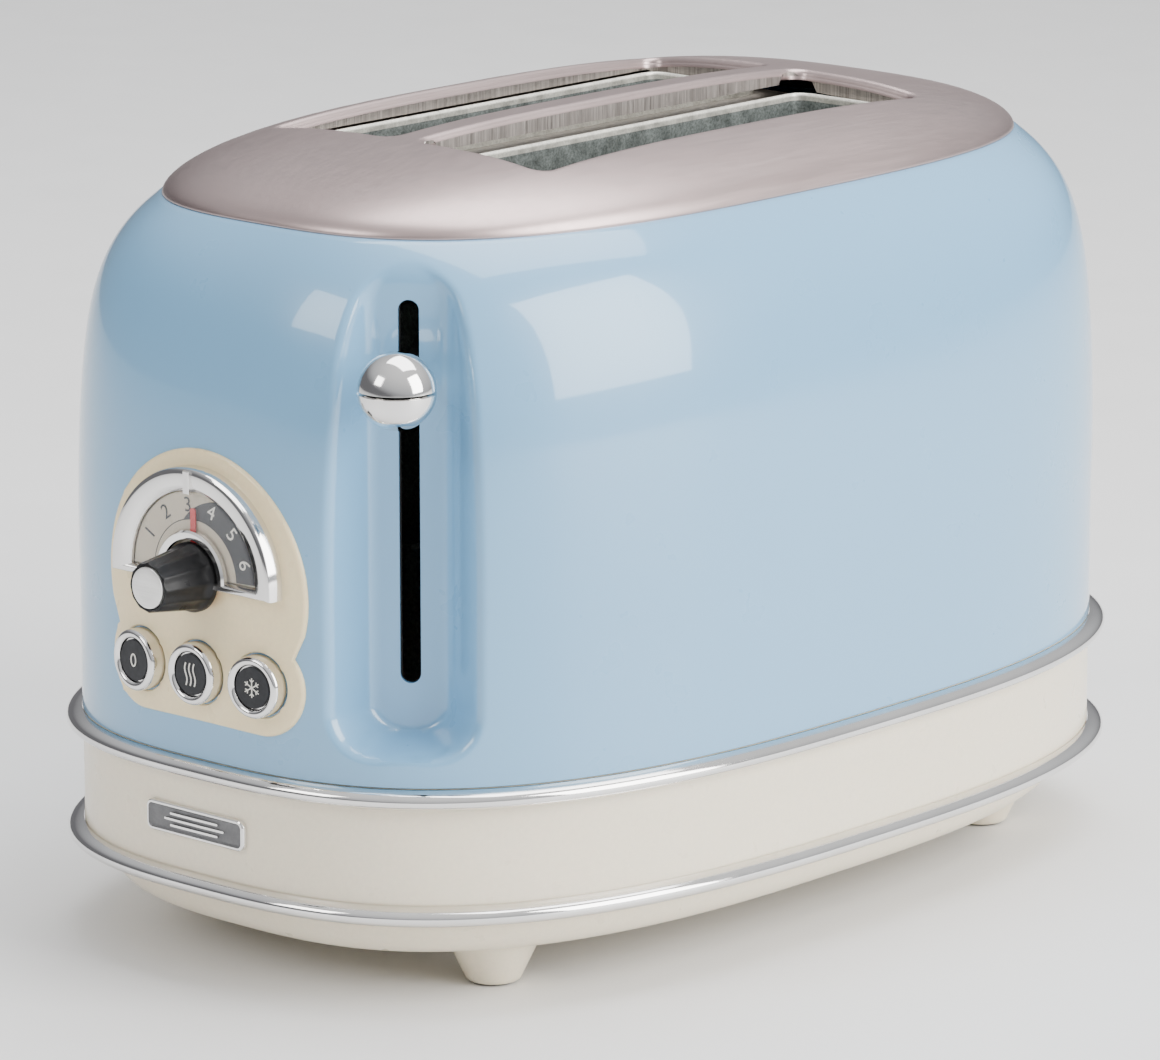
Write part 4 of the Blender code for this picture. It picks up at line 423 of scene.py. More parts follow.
def sheet(loops, holes, spacing, surface, back):
    """Solid plate over loops of flat points, shaped by surface(u, v), with holes and straight walls.

    loops[0] is the outer edge and each hole's first loop is its edge; the other loops only add
    points where the surface bends. back(u, v) gives the point behind.
    """
    points, edges = [], []
    for loop in loops + [loop for hole in holes for loop in hole]:
        start = len(points)
        points += [Vector(p) for p in loop]
        edges += [(start + i, start + (i + 1) % len(loop)) for i in range(len(loop))]
    edge_loops = [loops[0]] + [hole[0] for hole in holes]
    inner = loops[-1]
    lower = [min(p[k] for p in inner) for k in (0, 1)]
    upper = [max(p[k] for p in inner) for k in (0, 1)]
    columns = int((upper[0] - lower[0]) / spacing)
    rows = int((upper[1] - lower[1]) / spacing)
    for i in range(1, columns):
        for j in range(1, rows):
            point = (lower[0] + (upper[0] - lower[0]) * (i + 0.5 * (j % 2)) / columns,
                     lower[1] + (upper[1] - lower[1]) * j / rows)
            if inside(point, inner) and not any(inside(point, hole[-1]) for hole in holes):
                points.append(Vector(point))
    flat, _, triangles, _, _, _ = delaunay_2d_cdt(points, edges, [], 0, 1e-7)
    kept = []
    for triangle in triangles:
        middle = sum((flat[i] for i in triangle), Vector((0.0, 0.0))) / 3.0
        if inside(middle, edge_loops[0]) and not any(inside(middle, edge) for edge in edge_loops[1:]):
            kept.append(tuple(triangle))
    count = len(flat)
    solid_points = [Vector(surface(p.x, p.y)) for p in flat] + [Vector(back(p.x, p.y)) for p in flat]
    facing = sum(signed_area(flat, triangle) for triangle in kept)
    faces = [t if facing > 0.0 else t[::-1] for t in kept]
    faces += [tuple(count + i for i in reversed(face)) for face in list(faces)]
    used = dict.fromkeys(edge for a, b, c in faces[:len(kept)] for edge in ((a, b), (b, c), (c, a)))
    for a, b in used:
        if (b, a) not in used:
            faces.append((b, a, count + a, count + b))
    return solid_points, faces


def signed_area(flat, triangle):
    a, b, c = (flat[i] for i in triangle)
    return (b.x - a.x) * (c.y - a.y) - (c.x - a.x) * (b.y - a.y)


def apply_modifiers(made, sharp=40.0):
    """Replace an object's mesh by what its modifiers make of it."""
    graph = bpy.context.evaluated_depsgraph_get()
    mesh = bpy.data.meshes.new_from_object(made.evaluated_get(graph))
    made.modifiers.clear()
    made.data = mesh
    mesh.shade_smooth()
    mesh.set_sharp_from_angle(angle=math.radians(sharp))
    return made


def cut(made, *solids):
    """Cut solids, given as (points, faces), out of a piece."""
    cutters = []
    for points, faces in solids:
        mesh = bpy.data.meshes.new("cutter")
        mesh.from_pydata([Vector(p) + SHIFT for p in points], [], faces)
        cutter = bpy.data.objects.new("cutter", mesh)
        bpy.context.collection.objects.link(cutter)
        modifier = made.modifiers.new("cut", "BOOLEAN")
        modifier.object = cutter
        modifier.operation = "DIFFERENCE"
        cutters.append(cutter)
    apply_modifiers(made)
    for cutter in cutters:
        bpy.data.objects.remove(cutter)
    return made


# ---------------------------------------------------------------- material helpers
class Finish:
    """A Principled material with a few procedural layers."""

    def __init__(self, name, colour, roughness, metallic=0.0):
        self.material = bpy.data.materials.new(name)
        self.material.use_nodes = True
        self.tree = self.material.node_tree
        self.shader = self.tree.nodes["Principled BSDF"]
        self.base = colour
        self.put("Base Color", (*colour, 1.0))
        self.put("Roughness", roughness)
        self.put("Metallic", metallic)
        self.coordinates = self.add("ShaderNodeTexCoord")
        self.material.diffuse_color = (*colour, 1.0)
        self.normal = None

    def put(self, socket, value):
        self.shader.inputs[socket].default_value = value
        return self

    def add(self, kind, **settings):
        node = self.tree.nodes.new(kind)
        for key, value in settings.items():
            setattr(node, key, value)
        return node

    def link(self, output, target):
        self.tree.links.new(output, target)

    def stretched(self, scale):
        """Object coordinates stretched along each axis."""
        mapping = self.add("ShaderNodeMapping")
        mapping.inputs["Scale"].default_value = scale
        self.link(self.coordinates.outputs["Object"], mapping.inputs["Vector"])
        return mapping.outputs["Vector"]

    def noise(self, scale, detail=3.0, stretch=(1.0, 1.0, 1.0), roughness=0.55):
        noise = self.add("ShaderNodeTexNoise")
        noise.inputs["Scale"].default_value = scale
        noise.inputs["Detail"].default_value = detail
        noise.inputs["Roughness"].default_value = roughness
        self.link(self.stretched(stretch), noise.inputs["Vector"])
        return noise.outputs["Fac"]

    def cells(self, scale, stretch=(1.0, 1.0, 1.0)):
        cells = self.add("ShaderNodeTexVoronoi")
        cells.inputs["Scale"].default_value = scale
        self.link(self.stretched(stretch), cells.inputs["Vector"])
        return cells.outputs["Distance"]

    def ramp(self, value, low_stop, high_stop, low_value, high_value):
        """Map value between two stops to two greys or colours."""
        ramp = self.add("ShaderNodeValToRGB")
        ends = ((low_stop, low_value), (high_stop, high_value))
        for element, (stop, grey) in zip(ramp.color_ramp.elements, ends):
            element.position = stop
            element.color = (*grey, 1.0) if isinstance(grey, tuple) else (grey, grey, grey, 1.0)
        self.link(value, ramp.inputs["Fac"])
        return ramp.outputs["Color"]

    def vary_colour(self, value, darker, lighter, low_stop=0.3, high_stop=0.7):
        """Colour runs between two multiples of the base colour."""
        ends = [tuple(min(1.0, c * factor) for c in self.base) for factor in (darker, lighter)]
        self.link(self.ramp(value, low_stop, high_stop, *ends), self.shader.inputs["Base Color"])
        return self

    def vary_roughness(self, value, smoother, rougher, low_stop=0.3, high_stop=0.7):
        self.link(self.ramp(value, low_stop, high_stop, smoother, rougher), self.shader.inputs["Roughness"])
        return self

    def bump(self, value, distance, strength=1.0):
        bump = self.add("ShaderNodeBump")
        bump.inputs["Distance"].default_value = distance
        bump.inputs["Strength"].default_value = strength
        self.link(value, bump.inputs["Height"])
        if self.normal:
            self.link(self.normal, bump.inputs["Normal"])
        self.normal = bump.outputs["Normal"]
        self.link(self.normal, self.shader.inputs["Normal"])
        return self


# ---------------------------------------------------------------- materials
def textured(name, colour, roughness, metallic=0.0, tone=None, gloss=None, grain=None, sockets=None):
    """A finish whose colour, roughness and bump each follow noise of their own.

    tone and gloss are (scale, detail, least, most), grain is (scale, detail, distance, strength),
    and each may end with a stretch along the three axes.
    """
    finish = Finish(name, colour, roughness, metallic)
    for layer, vary in ((tone, finish.vary_colour), (gloss, finish.vary_roughness), (grain, finish.bump)):
        if layer:
            scale, detail, first, second, *stretch = layer
            vary(finish.noise(scale, detail, *stretch), first, second)
    for socket, value in (sockets or {}).items():
        finish.put(socket, value)
    return finish.material


def make_enamel():
    return textured("enamel_blue", (0.175, 0.385, 0.60), 0.30, tone=(9.0, 2.0, 0.985, 1.01),
                    gloss=(60.0, 3.0, 0.27, 0.31), grain=(300.0, 2.0, 0.00002, 0.2),
                    sockets={"Coat Weight": 1.0, "Coat Roughness": 0.05, "Coat IOR": 1.5})


def make_cream(name, colour):
    return textured(name, colour, 0.32, tone=(700.0, 4.0, 0.965, 1.02), gloss=(90.0, 3.0, 0.26, 0.38),
                    grain=(900.0, 3.0, 0.00003, 0.35),
                    sockets={"Subsurface Weight": 0.08, "Subsurface Scale": 0.002, "Coat Weight": 0.35,
                             "Coat Roughness": 0.12})


def make_chrome():
    return textured("chrome", (0.80, 0.79, 0.78), 0.08, 1.0, tone=(45.0, 2.0, 0.94, 1.02),
                    gloss=(140.0, 5.0, 0.045, 0.13), grain=(1400.0, 2.0, 0.000006, 0.4))


def make_top_steel():
    """Satin steel, brushed along the housing."""
    return textured("satin_steel", (0.47, 0.375, 0.365), 0.40, 1.0, tone=(16.0, 3.0, 0.985, 1.015),
                    gloss=(1100.0, 3.0, 0.34, 0.40, (1.0, 0.04, 1.0)),
                    grain=(1500.0, 3.0, 0.00001, 0.35, (1.0, 0.05, 1.0)))


def make_flange_steel():
    """Steel that keeps its drawing marks."""
    finish = Finish("drawn_steel", (0.45, 0.41, 0.385), 0.42, 1.0)
    streaks = finish.noise(1700.0, 4.0, (1.0, 1.0, 0.03), 0.7)
    finish.vary_colour(streaks, 0.62, 1.25, 0.36, 0.66)
    finish.vary_roughness(finish.noise(900.0, 2.0, (1.0, 1.0, 0.1)), 0.38, 0.52)
    finish.bump(streaks, 0.00006, 0.5)
    return finish.material


def make_galvanised(name="galvanised_steel", colour=(0.25, 0.28, 0.27), fleck=0.4):
    finish = Finish(name, colour, 0.42, 0.85)
    finish.vary_colour(finish.noise(1300.0, 4.0, roughness=0.75), 1.0 - fleck, 1.0 + fleck, 0.35, 0.65)
    finish.vary_roughness(finish.cells(260.0), 0.34, 0.55, 0.0, 0.8)
    finish.bump(finish.noise(800.0, 3.0), 0.00002, 0.4)
    return finish.material


def make_black_plastic():
    return textured("black_plastic", (0.008, 0.008, 0.009), 0.30, tone=(500.0, 3.0, 0.8, 1.3),
                    gloss=(200.0, 3.0, 0.26, 0.40), grain=(1600.0, 2.0, 0.00001, 0.4),
                    sockets={"Specular IOR Level": 0.25})


def make_dark_grey_plastic():
    return textured("dark_grey_plastic", (0.024, 0.025, 0.028), 0.5, tone=(700.0, 3.0, 0.85, 1.2),
                    gloss=(260.0, 3.0, 0.38, 0.52), grain=(1700.0, 2.0, 0.00001, 0.5),
                    sockets={"Specular IOR Level": 0.25})


def make_silver_cap():
    across = (0.05, 1.0, 1.0)
    return textured("silver_cap", (0.78, 0.775, 0.76), 0.32, 0.75, tone=(900.0, 2.0, 0.93, 1.05, across),
                    gloss=(800.0, 2.0, 0.26, 0.38, across), grain=(1200.0, 2.0, 0.00001, 0.5, across))


def make_print(name, colour):
    """Printed ink: matte and slightly uneven in colour."""
    return textured(name, colour, 0.5, tone=(1200.0, 3.0, 0.93, 1.05), gloss=(400.0, 2.0, 0.42, 0.58))


def make_window():
    return textured("clear_window", (0.95, 0.96, 0.96), 0.04, gloss=(120.0, 3.0, 0.03, 0.09),
                    grain=(200.0, 2.0, 0.00001, 0.3), sockets={"Alpha": 0.05})


def make_mica():
    finish = Finish("mica", (0.42, 0.33, 0.23), 0.55)
    finish.vary_colour(finish.noise(160.0, 5.0, (1.0, 0.4, 1.0), 0.7), 0.6, 1.35)
    finish.vary_roughness(finish.cells(300.0), 0.4, 0.7, 0.0, 0.8)
    finish.bump(finish.noise(500.0, 4.0), 0.00004, 0.5)
    return finish.material


def make_rubber():
    return textured("rubber", (0.030, 0.030, 0.031), 0.8, tone=(500.0, 4.0, 0.75, 1.3),
                    grain=(900.0, 4.0, 0.00004, 0.6))


def make_board():
    finish = Finish("board_green", (0.04, 0.16, 0.08), 0.45)
    finish.vary_colour(finish.cells(220.0), 0.6, 1.3, 0.1, 0.6)
    finish.bump(finish.noise(500.0, 2.0), 0.00003, 0.5)
    return finish.material


def make_nichrome():
    return textured("heater_wire", (0.36, 0.31, 0.26), 0.38, 1.0, tone=(300.0, 3.0, 0.6, 1.3),
                    gloss=(300.0, 3.0, 0.3, 0.5))


def make_floor():
    return textured("pale_floor", (0.80, 0.80, 0.80), 0.55, tone=(3.0, 3.0, 0.99, 1.0),
                    gloss=(30.0, 2.0, 0.5, 0.6))


ENAMEL = make_enamel()
CREAM = make_cream("cream_plastic", (0.82, 0.735, 0.575))
WARM_CREAM = make_cream("warm_cream", (0.86, 0.715, 0.435))
# darker than the band's cream: partly the window's brown tint, partly painted shade of the face recessed
# behind the window
DIAL_CREAM_WITH_PAINTED_SHADE = make_cream("dial_cream_painted_shade", (0.56, 0.49, 0.38))
CHROME = make_chrome()
TOP_STEEL = make_top_steel()
FLANGE_STEEL = make_flange_steel()
GALVANISED = make_galvanised()
BEAD_STEEL = make_galvanised("bead_steel", (0.74, 0.73, 0.66), 0.16)
# painted shade: a dim brownish copy of the galvanised steel for the collar's sheet, which lies in shadow
# under the top plate
PAINTED_SHADE_STEEL = make_galvanised("shaded_steel", (0.30, 0.27, 0.235), 0.2)
BLACK = make_black_plastic()
DARK_GREY = make_dark_grey_plastic()
SILVER = make_silver_cap()
RED = make_print("pointer_red", (0.62, 0.045, 0.05))
DARK_INK = make_print("dark_ink", (0.035, 0.037, 0.045))
LIGHT_INK = make_print("light_ink", (0.82, 0.80, 0.74))
WINDOW = make_window()
MICA = make_mica()
RUBBER = make_rubber()
BOARD = make_board()
NICHROME = make_nichrome()
BADGE_FACE = make_galvanised("badge_face", (0.17, 0.17, 0.175), 0.08)


# ---------------------------------------------------------------- housing
def recess_height(across, z):
    """How far above its floor the recess's wall stands at (across, z); negative over the floor."""
    top_centre = RECESS_TOP_Z - RECESS_FLOOR_HALF_WIDTH
    bottom_centre = RECESS_BOTTOM_Z + RECESS_CORNER
    if z > top_centre:
        side, end, radius = abs(across), z - top_centre, RECESS_FLOOR_HALF_WIDTH
    else:
        radius = RECESS_CORNER
        side, end = abs(across) - RECESS_FLOOR_HALF_WIDTH + radius, bottom_centre - z
    if side > 0.0 and end > 0.0:
        reach = math.hypot(side, end)
        slope = (RECESS_SIDE_SLOPE * side * side + RECESS_END_SLOPE * end * end) / reach ** 2
        return (reach - radius) / slope
    return max((side - radius) / RECESS_SIDE_SLOPE, (end - radius) / RECESS_END_SLOPE)


def pressed_in(point):
    """A point of the shell's plain outer form, pushed in where the lever's recess is."""
    offset = Vector(point) - LEVER_POINT
    across, out = offset.dot(ACROSS), offset.dot(OUTWARDS)
    if out < -4.0 * RECESS_DEPTH:
        return point
    wall = smooth_max(recess_height(across, point[2]), 0.0, RECESS_LIP)
    sunk = smooth_min(out, wall - RECESS_DEPTH, RECESS_LIP)
    return Vector(point) + OUTWARDS * (sunk - out)


def shell_angles():
    """Angles round the housing, closer together across the lever's recess."""
    fine, coarse, middle, half_span = 0.34, 1.6, -57.0, 12.0
    angles = []
    angle = middle - half_span
    while angle < middle + half_span:
        angles.append(angle)
        angle += fine
    rest = 360.0 - 2.0 * half_span
    steps = round(rest / coarse)
    angles += [middle + half_span + rest * i / steps for i in range(steps)]
    return [math.radians(angle) for angle in angles]


def shell_heights():
    """Heights up the shell, closer together at the recess's ends and on the tight shoulder."""
    fine, coarse = 0.0008, 0.0019
    tight_from_z, near_recess_end = 0.178, 0.010
    heights = [SHELL_BOTTOM_Z]
    while heights[-1] < SHELL_TOP_Z - 0.0006:
        z = heights[-1]
        tight = z > tight_from_z or abs(z - RECESS_BOTTOM_Z) < near_recess_end
        heights.append(z + (fine if tight else coarse))
    heights[-1] = SHELL_TOP_Z
    return heights


def outer_shell():
    angles = shell_angles()
    rings = [[pressed_in(point) for point in plan_ring(*shell_plan(z), z, angles)] for z in shell_heights()]
    for share in (0.2, 1.0):
        inset = SHELL_LEDGE * share
        rings.append(plan_ring(PLATE_HALF_WIDTH - inset, PLATE_HALF_LENGTH - inset, PLATE_POWER, SHELL_TOP_Z,
                               angles))
    shell = piece("shell_enamelled", [loft(rings, caps=False)], [ENAMEL], "root", ["outer_shell"])
    wall = shell.modifiers.new("wall", "SOLIDIFY")
    wall.thickness = SHELL_WALL
    wall.offset = -1.0
    apply_modifiers(shell)
    slot = stadium(LEVER_SLOT_HALF_WIDTH, LEVER_SLOT_BOTTOM_Z, LEVER_SLOT_TOP_Z)
    behind, before = -RECESS_DEPTH - 0.006, -RECESS_DEPTH + 0.003
    slot_cutter = slab(slot, lambda u, z, w: to_lever(u, w, z), behind, before)
    opening = slab(fascia_outline(FASCIA_GAP), along_y, -SHELL_HALF_LENGTH - 0.01, HUB_FACE_Y + 0.03)
    cut(shell, slot_cutter, opening)


def dome_z(x, y):
    reach = ((abs(x) / PLATE_HALF_WIDTH) ** PLATE_POWER + (abs(y) / PLATE_HALF_LENGTH) ** PLATE_POWER)
    reach = min(1.0, reach ** (1.0 / PLATE_POWER))
    rise = max(0.0, 1.0 - reach ** DOME_EDGE_POWER) ** DOME_ROUND_POWER
    return BORDER_Z + DOME_HEIGHT * rise * (1.0 - DOME_END_DROP * (y / PLATE_HALF_LENGTH) ** 2)


def lip_drop(distance):
    """How far the plate has rolled down this far from a slot's edge."""
    if distance >= LIP_ROUND:
        return 0.0
    return LIP_ROUND - math.sqrt(LIP_ROUND ** 2 - (LIP_ROUND - distance) ** 2)


def slot_distance(x, y):
    """Distance outwards from the nearer slot's outline, near its edge."""
    side = abs(abs(x) - SLOT_X) - SLOT_HALF_WIDTH + SLOT_CORNER
    end = abs(y) - SLOT_HALF_LENGTH + SLOT_CORNER
    if side > 0.0 and end > 0.0:
        return math.hypot(side, end) - SLOT_CORNER
    return max(side, end) - SLOT_CORNER


def flange_bottom(x, y):
    """Lower edge of a slot's flange, with a relief notch at each of its inner corners."""
    at_end = min(1.0, max(0.0, (abs(y) - SLOT_HALF_LENGTH + SLOT_CORNER / 2.0) / (SLOT_CORNER / 2.0)))
    bottom = FLANGE_BOTTOM_Z + FLANGE_FALL * (SLOT_X - abs(x)) - FLANGE_END_DROP * at_end
    corner_x = SLOT_X - SLOT_HALF_WIDTH
    along = math.hypot(abs(x) - corner_x, abs(y) - SLOT_HALF_LENGTH)
    ramp = min(1.0, max(0.0, (NOTCH_REACH - along) / (NOTCH_REACH * 0.25)))
    return bottom + NOTCH_RISE * ramp


def plate_surface(x, y):
    distance = max(0.0, slot_distance(x, y)) if abs(y) < SLOT_HALF_LENGTH + 0.01 else 1.0
    return x, y, dome_z(x, y) - lip_drop(distance)


def plate_underside(x, y):
    px, py, pz = plate_surface(x, y)
    return px * 0.994, py * 0.996, pz - PLATE_SHEET


def slot_flange(side):
    """Downturned wall round a slot, from under the rolled lip; its outer face is set back a sheet."""
    outline = subdivided(slot_outline(side), 0.0009)
    rings = []
    inner = (0.0, 0.0001, (0.0, 0.25, 0.5, 0.75, 1.0))
    outer = (PLATE_SHEET, -0.0004, (1.0, 0.0))
    for grow, raised, levels in (inner, outer):
        for level in levels:
            ring = []
            for x, y in outline:
                top = dome_z(x, y) - LIP_ROUND + raised
                grown_x = x + grow * (x - side * SLOT_X) / SLOT_HALF_WIDTH
                grown_y = y + grow * y / SLOT_HALF_LENGTH
                ring.append((grown_x, grown_y, top + (flange_bottom(x, y) - top) * level))
            rings.append(ring)
    points, faces = loft(rings, closed=True)
    return points, [face[::-side] for face in faces]


def top_plate():
    rim_shares = (1.0, 0.9995, 0.998, 0.995, 0.990, 0.982, 0.97, 0.955, 0.935, 0.91)
    lip_grows = (0.0, 0.0001, 0.0003, 0.0006, 0.001, 0.0014, 0.0019, 0.0026)
    loops = [[plan_point(angle, PLATE_HALF_WIDTH * share, PLATE_HALF_LENGTH * share, PLATE_POWER)
              for angle in even_angles(200)] for share in rim_shares]
    holes = [[subdivided(slot_outline(side, grow), 0.004) for grow in lip_grows] for side in (-1, 1)]
    parts = [(*sheet(loops, holes, 0.0055, plate_surface, plate_underside), 0)]
    parts += [(*slot_flange(side), 1) for side in (-1, 1)]
    piece("top_plate_satin", parts, [TOP_STEEL, FLANGE_STEEL], "root", ["top_plate"], sharp=50.0)


def slot_collar():
    bead = 0.0008
    round_z = BEAD_TOP_Z - bead
    profile = [(0.0, THROAT_BOTTOM_Z, 0), (0.0, COLLAR_Z, 0), (0.0, round_z - 0.0012, 1)]
    profile += [(grow, z, 1) for grow, z in arc((bead, round_z), bead, 180.0, 0.0, 10)]
    profile += [(2.0 * bead, COLLAR_Z + COLLAR_SHEET, 1), (bead, COLLAR_Z, 1), (bead, THROAT_BOTTOM_Z, 0)]
    parts = []
    for side in (-1, 1):
        rings = [[(x, y, z) for x, y in subdivided(throat_outline(side, grow), 0.02)]
                 for grow, z, _ in profile]
        points, faces = loft(rings, closed=True)
        count = len(rings[0])
        for level, (_, _, slot) in enumerate(profile):
            strip = faces[level * count:(level + 1) * count]
            parts.append((points, [face[::-1] for face in strip], slot))
    half_x, half_y, _ = high("slot_collar")
    edge = rectangle(-half_x, -half_y, half_x, half_y)
    within_x, within_y = half_x - COLLAR_SHEET, half_y - COLLAR_SHEET
    inner = rectangle(-within_x, -within_y, within_x, within_y)
    holes = [[throat_outline(side, 1.5 * bead)] for side in (-1, 1)]
    # the sheet takes the dim steel copy, painted shade for the shadow under the top plate
    parts.append((*sheet([edge], holes, 0.02, lambda x, y: (x, y, COLLAR_Z + COLLAR_SHEET),
                         lambda x, y: (x, y, COLLAR_Z)), 2))
    bottom = high("front_chassis_plate")[2] + GAP
    levels = ((edge, bottom), (edge, COLLAR_Z), (inner, COLLAR_Z), (inner, bottom))
    parts.append((*loft([[(x, y, z) for x, y in outline] for outline, z in levels], closed=True), 0))
    piece("slot_collar_pressed", parts, [GALVANISED, BEAD_STEEL, PAINTED_SHADE_STEEL], "root", ["slot_collar"])


def trim_ring(node):
    """Polished half-round trim."""
    half = (high(node)[2] - low(node)[2]) / 2.0
    proud = high(node)[0] - BAND_HALF_WIDTH - GAP
    profile = [(GAP, -half)]
    profile += [(GAP + proud * u, half * v) for u, v in arc((0.0, 0.0), 1.0, -78.0, 78.0, 14)]
    profile += [(GAP, half)]
    rings = [band_ring(out, centre_of(node)[2] + rise) for out, rise in profile]
    piece(f"{node}_polished", [loft(rings, closed=True)], [CHROME], "root", [node], sharp=60.0)


def base_band():
    wall = 0.002
    bottom, top = low("base_band")[2], high("base_band")[2]
    edge = 0.0004
    rings = [band_ring(out, z) for out, z in ((-wall, bottom), (-edge, bottom), (0.0, bottom + edge),
                                              (0.0, top - edge), (-edge, top), (-wall, top))]
    band = piece("base_band_moulded", [loft(rings, closed=True)], [CREAM], "root", ["base_band"])
    panel_low, panel_high = low("tray_panel"), high("tray_panel")
    clear = 0.0004
    opening = box((panel_low[0] - clear, 0.0, panel_low[2] - clear),
                  (panel_high[0] + clear, 2.0 * BAND_HALF_LENGTH, panel_high[2] + clear))
    return cut(band, opening)


def tray_pull(bottom, back):
    """Finger lip along the panel's lower edge, whose ends taper into the band."""
    half_width, height, edge, root = 0.014, 0.003, 0.0006, BAND_HALF_LENGTH - 0.001
    taper_from, taper = 0.75, 0.0028
    outline = [(bottom, root)] + arc((bottom + edge, back - edge), edge, 180.0, 90.0, 4)
    outline += [(bottom + height * 0.8, back), (bottom + height, back - 0.0008), (bottom + height, root)]
    rings = []
    for across in (i / 8.0 for i in range(-8, 9)):
        shorten = taper * max(0.0, abs(across) - taper_from) / (1.0 - taper_from)
        rings.append([(half_width * across, min(y, max(root, y - shorten)), z) for z, y in outline])
    return loft(rings)


def tray_panel():
    wall, edge, steps = 0.002, 0.0005, 48
    lower, upper = low("tray_panel"), high("tray_panel")
    levels = ((-wall, lower[2]), (-edge, lower[2]), (0.0, lower[2] + edge), (0.0, upper[2] - edge),
              (-edge, upper[2]), (-wall, upper[2]))
    places = [lower[0] + (upper[0] - lower[0]) * i / steps for i in range(steps + 1)]
    panel = loft([[(x, band_y(x, out), z) for out, z in levels] for x in places])
    parts = [panel, tray_pull(lower[2] + GAP, upper[1])]
    piece("tray_panel_moulded", parts, [CREAM], "tray", ["tray_panel"])


def pan_side(extra, upper_z):
    """Rings up the pan's rounded side, set in and raised by extra."""
    bottom = PAN_FLOOR_Z + extra
    return [band_ring((PAN_FLOOR_INSET - PAN_INSET) * v - PAN_FLOOR_INSET - extra,
                      bottom + (upper_z - bottom) * (1.0 - u))
            for u, v in arc((0.0, 0.0), 1.0, 0.0, 90.0, 12)]


def foot(corner):
    """Moulded foot and the rubber pad under it; profiles are (radius, depth)."""
    x, y, _ = centre_of(f"foot_pad_{corner}")
    place = Matrix.Translation((x, y, 0.0)) @ Matrix.Rotation(math.radians(-90.0), 4, "X")
    profile = [(0.0137, -0.0132), (0.0127, -0.0122), (0.0119, -0.0108), (0.0078, -0.0020), (0.0073, -0.0010),
               (0.0067, -0.0006)]
    piece(f"foot_{corner}_moulded", [turned(profile, place, 56)], [CREAM])
    radius = high(f"foot_pad_{corner}")[0] - x
    profile = [(radius * 0.5, -0.0012), (radius, -0.0012), (radius, -0.0004), (radius - 0.0004, 0.0)]
    piece(f"foot_pad_{corner}_rubber", [turned(profile, place, 48)], [RUBBER], "root", [f"foot_pad_{corner}"])


def base_pan():
    screw_radius, gland_radius = 0.002, 0.0063
    top = high("base_pan")[2]
    lip = [band_ring(-PAN_LIP_INSET, z) for z in (top - PAN_LIP_HEIGHT, top)]
    shape = loft(pan_side(0.0, top - PAN_LIP_HEIGHT) + lip + pan_side(PAN_WALL, top)[::-1])
    pan = piece("base_pan_moulded", [shape], [CREAM], "root", ["base_pan"])
    holes = [circle(centre_of(f"base_screw_{corner}"), screw_radius, 24) for corner in CORNERS]
    holes.append(circle(centre_of("cord_gland"), gland_radius, 40))
    cut(pan, *[slab(hole, along_z, *PAN_HOLE_DEPTHS) for hole in holes])
    for corner in CORNERS:
        foot(corner)


def name_badge():
    """Plain plate with a raised rim that follows the band; it carries no lettering."""
    lower, upper = low("name_badge"), high("name_badge")
    inset_loops = (0.0, 0.00015, 0.0004, 0.0009, 0.0011, 0.0014, 0.0018)
    rises = (0.0, 0.0004, 0.0006, 0.0006, 0.00035, 0.0002, 0.0002)
    corner = (upper[2] - lower[2]) / 4.0
    rings = []
    for inset, rise in ((0.0, -0.0012), *zip(inset_loops, rises)):
        outline = subdivided(rounded_rectangle(lower[0] + inset, lower[2] + inset, upper[0] - inset,
                                               upper[2] - inset, corner - inset * 0.8), 0.1)
        out = GAP + 0.0006 + rise
        rings.append([badge_point(x, z, out) for x, z in outline])
    points, faces = loft(rings)
    count = len(rings[0])
    rim = (points, faces[:count * 4] + [faces[-2]], 0)
    face = (points, faces[count * 4:-2] + [faces[-1]], 1)
    parts = [rim, face]
    for k in (-1, 0, 1):
        half, middle = 0.0110 - 0.0022 * abs(k), (lower[2] + upper[2]) / 2.0 + 0.0016 * k
        centre_x = (lower[0] + upper[0]) / 2.0
        bar = rounded_rectangle(centre_x - half, middle - 0.0003, centre_x + half, middle + 0.0003, 0.0003, 4)
        parts.append((*slab(subdivided(bar, 0.002), badge_point, GAP + 0.0006, GAP + 0.00105), 0))
    return piece("name_badge_plain", parts, [CHROME, BADGE_FACE], "root", ["name_badge"], sharp=30.0)


def badge_point(x, z, out):
    return x, -band_y(x, out), z


# ---------------------------------------------------------------- toasting chamber
def bread_guards():
    """Round-wire guards in place of the plain panels."""
    radius = 0.0007
    for slot in ("left", "right"):
        for face in ("a", "b"):
            node = f"bread_guard_{slot}_{face}"
            lower, upper = low(node), high(node)
            x = (lower[0] + upper[0]) / 2.0
            half = 0.072
            bottom = 0.0475
            top = upper[2] - radius
            frame_wire = [(x, y, z) for y, z in rounded_rectangle(-half + radius, bottom, half - radius, top,
                                                                   0.003, 4)]
            parts = [wire(frame_wire, radius, 8, closed=True)]
            bars = 10
            for i in range(1, bars):
                y = -half + 2.0 * half * i / bars
                parts.append(wire([(x, y, bottom), (x, y, top)], radius, 8))
            pin_front, pin_back = lower[1], upper[1]
            parts.append(wire([(x, pin_front, bottom), (x, pin_back, bottom)], 0.001, 12))
            piece(f"{node}_wire", parts, [BEAD_STEEL], f"guard_{slot}_{face}", [node])


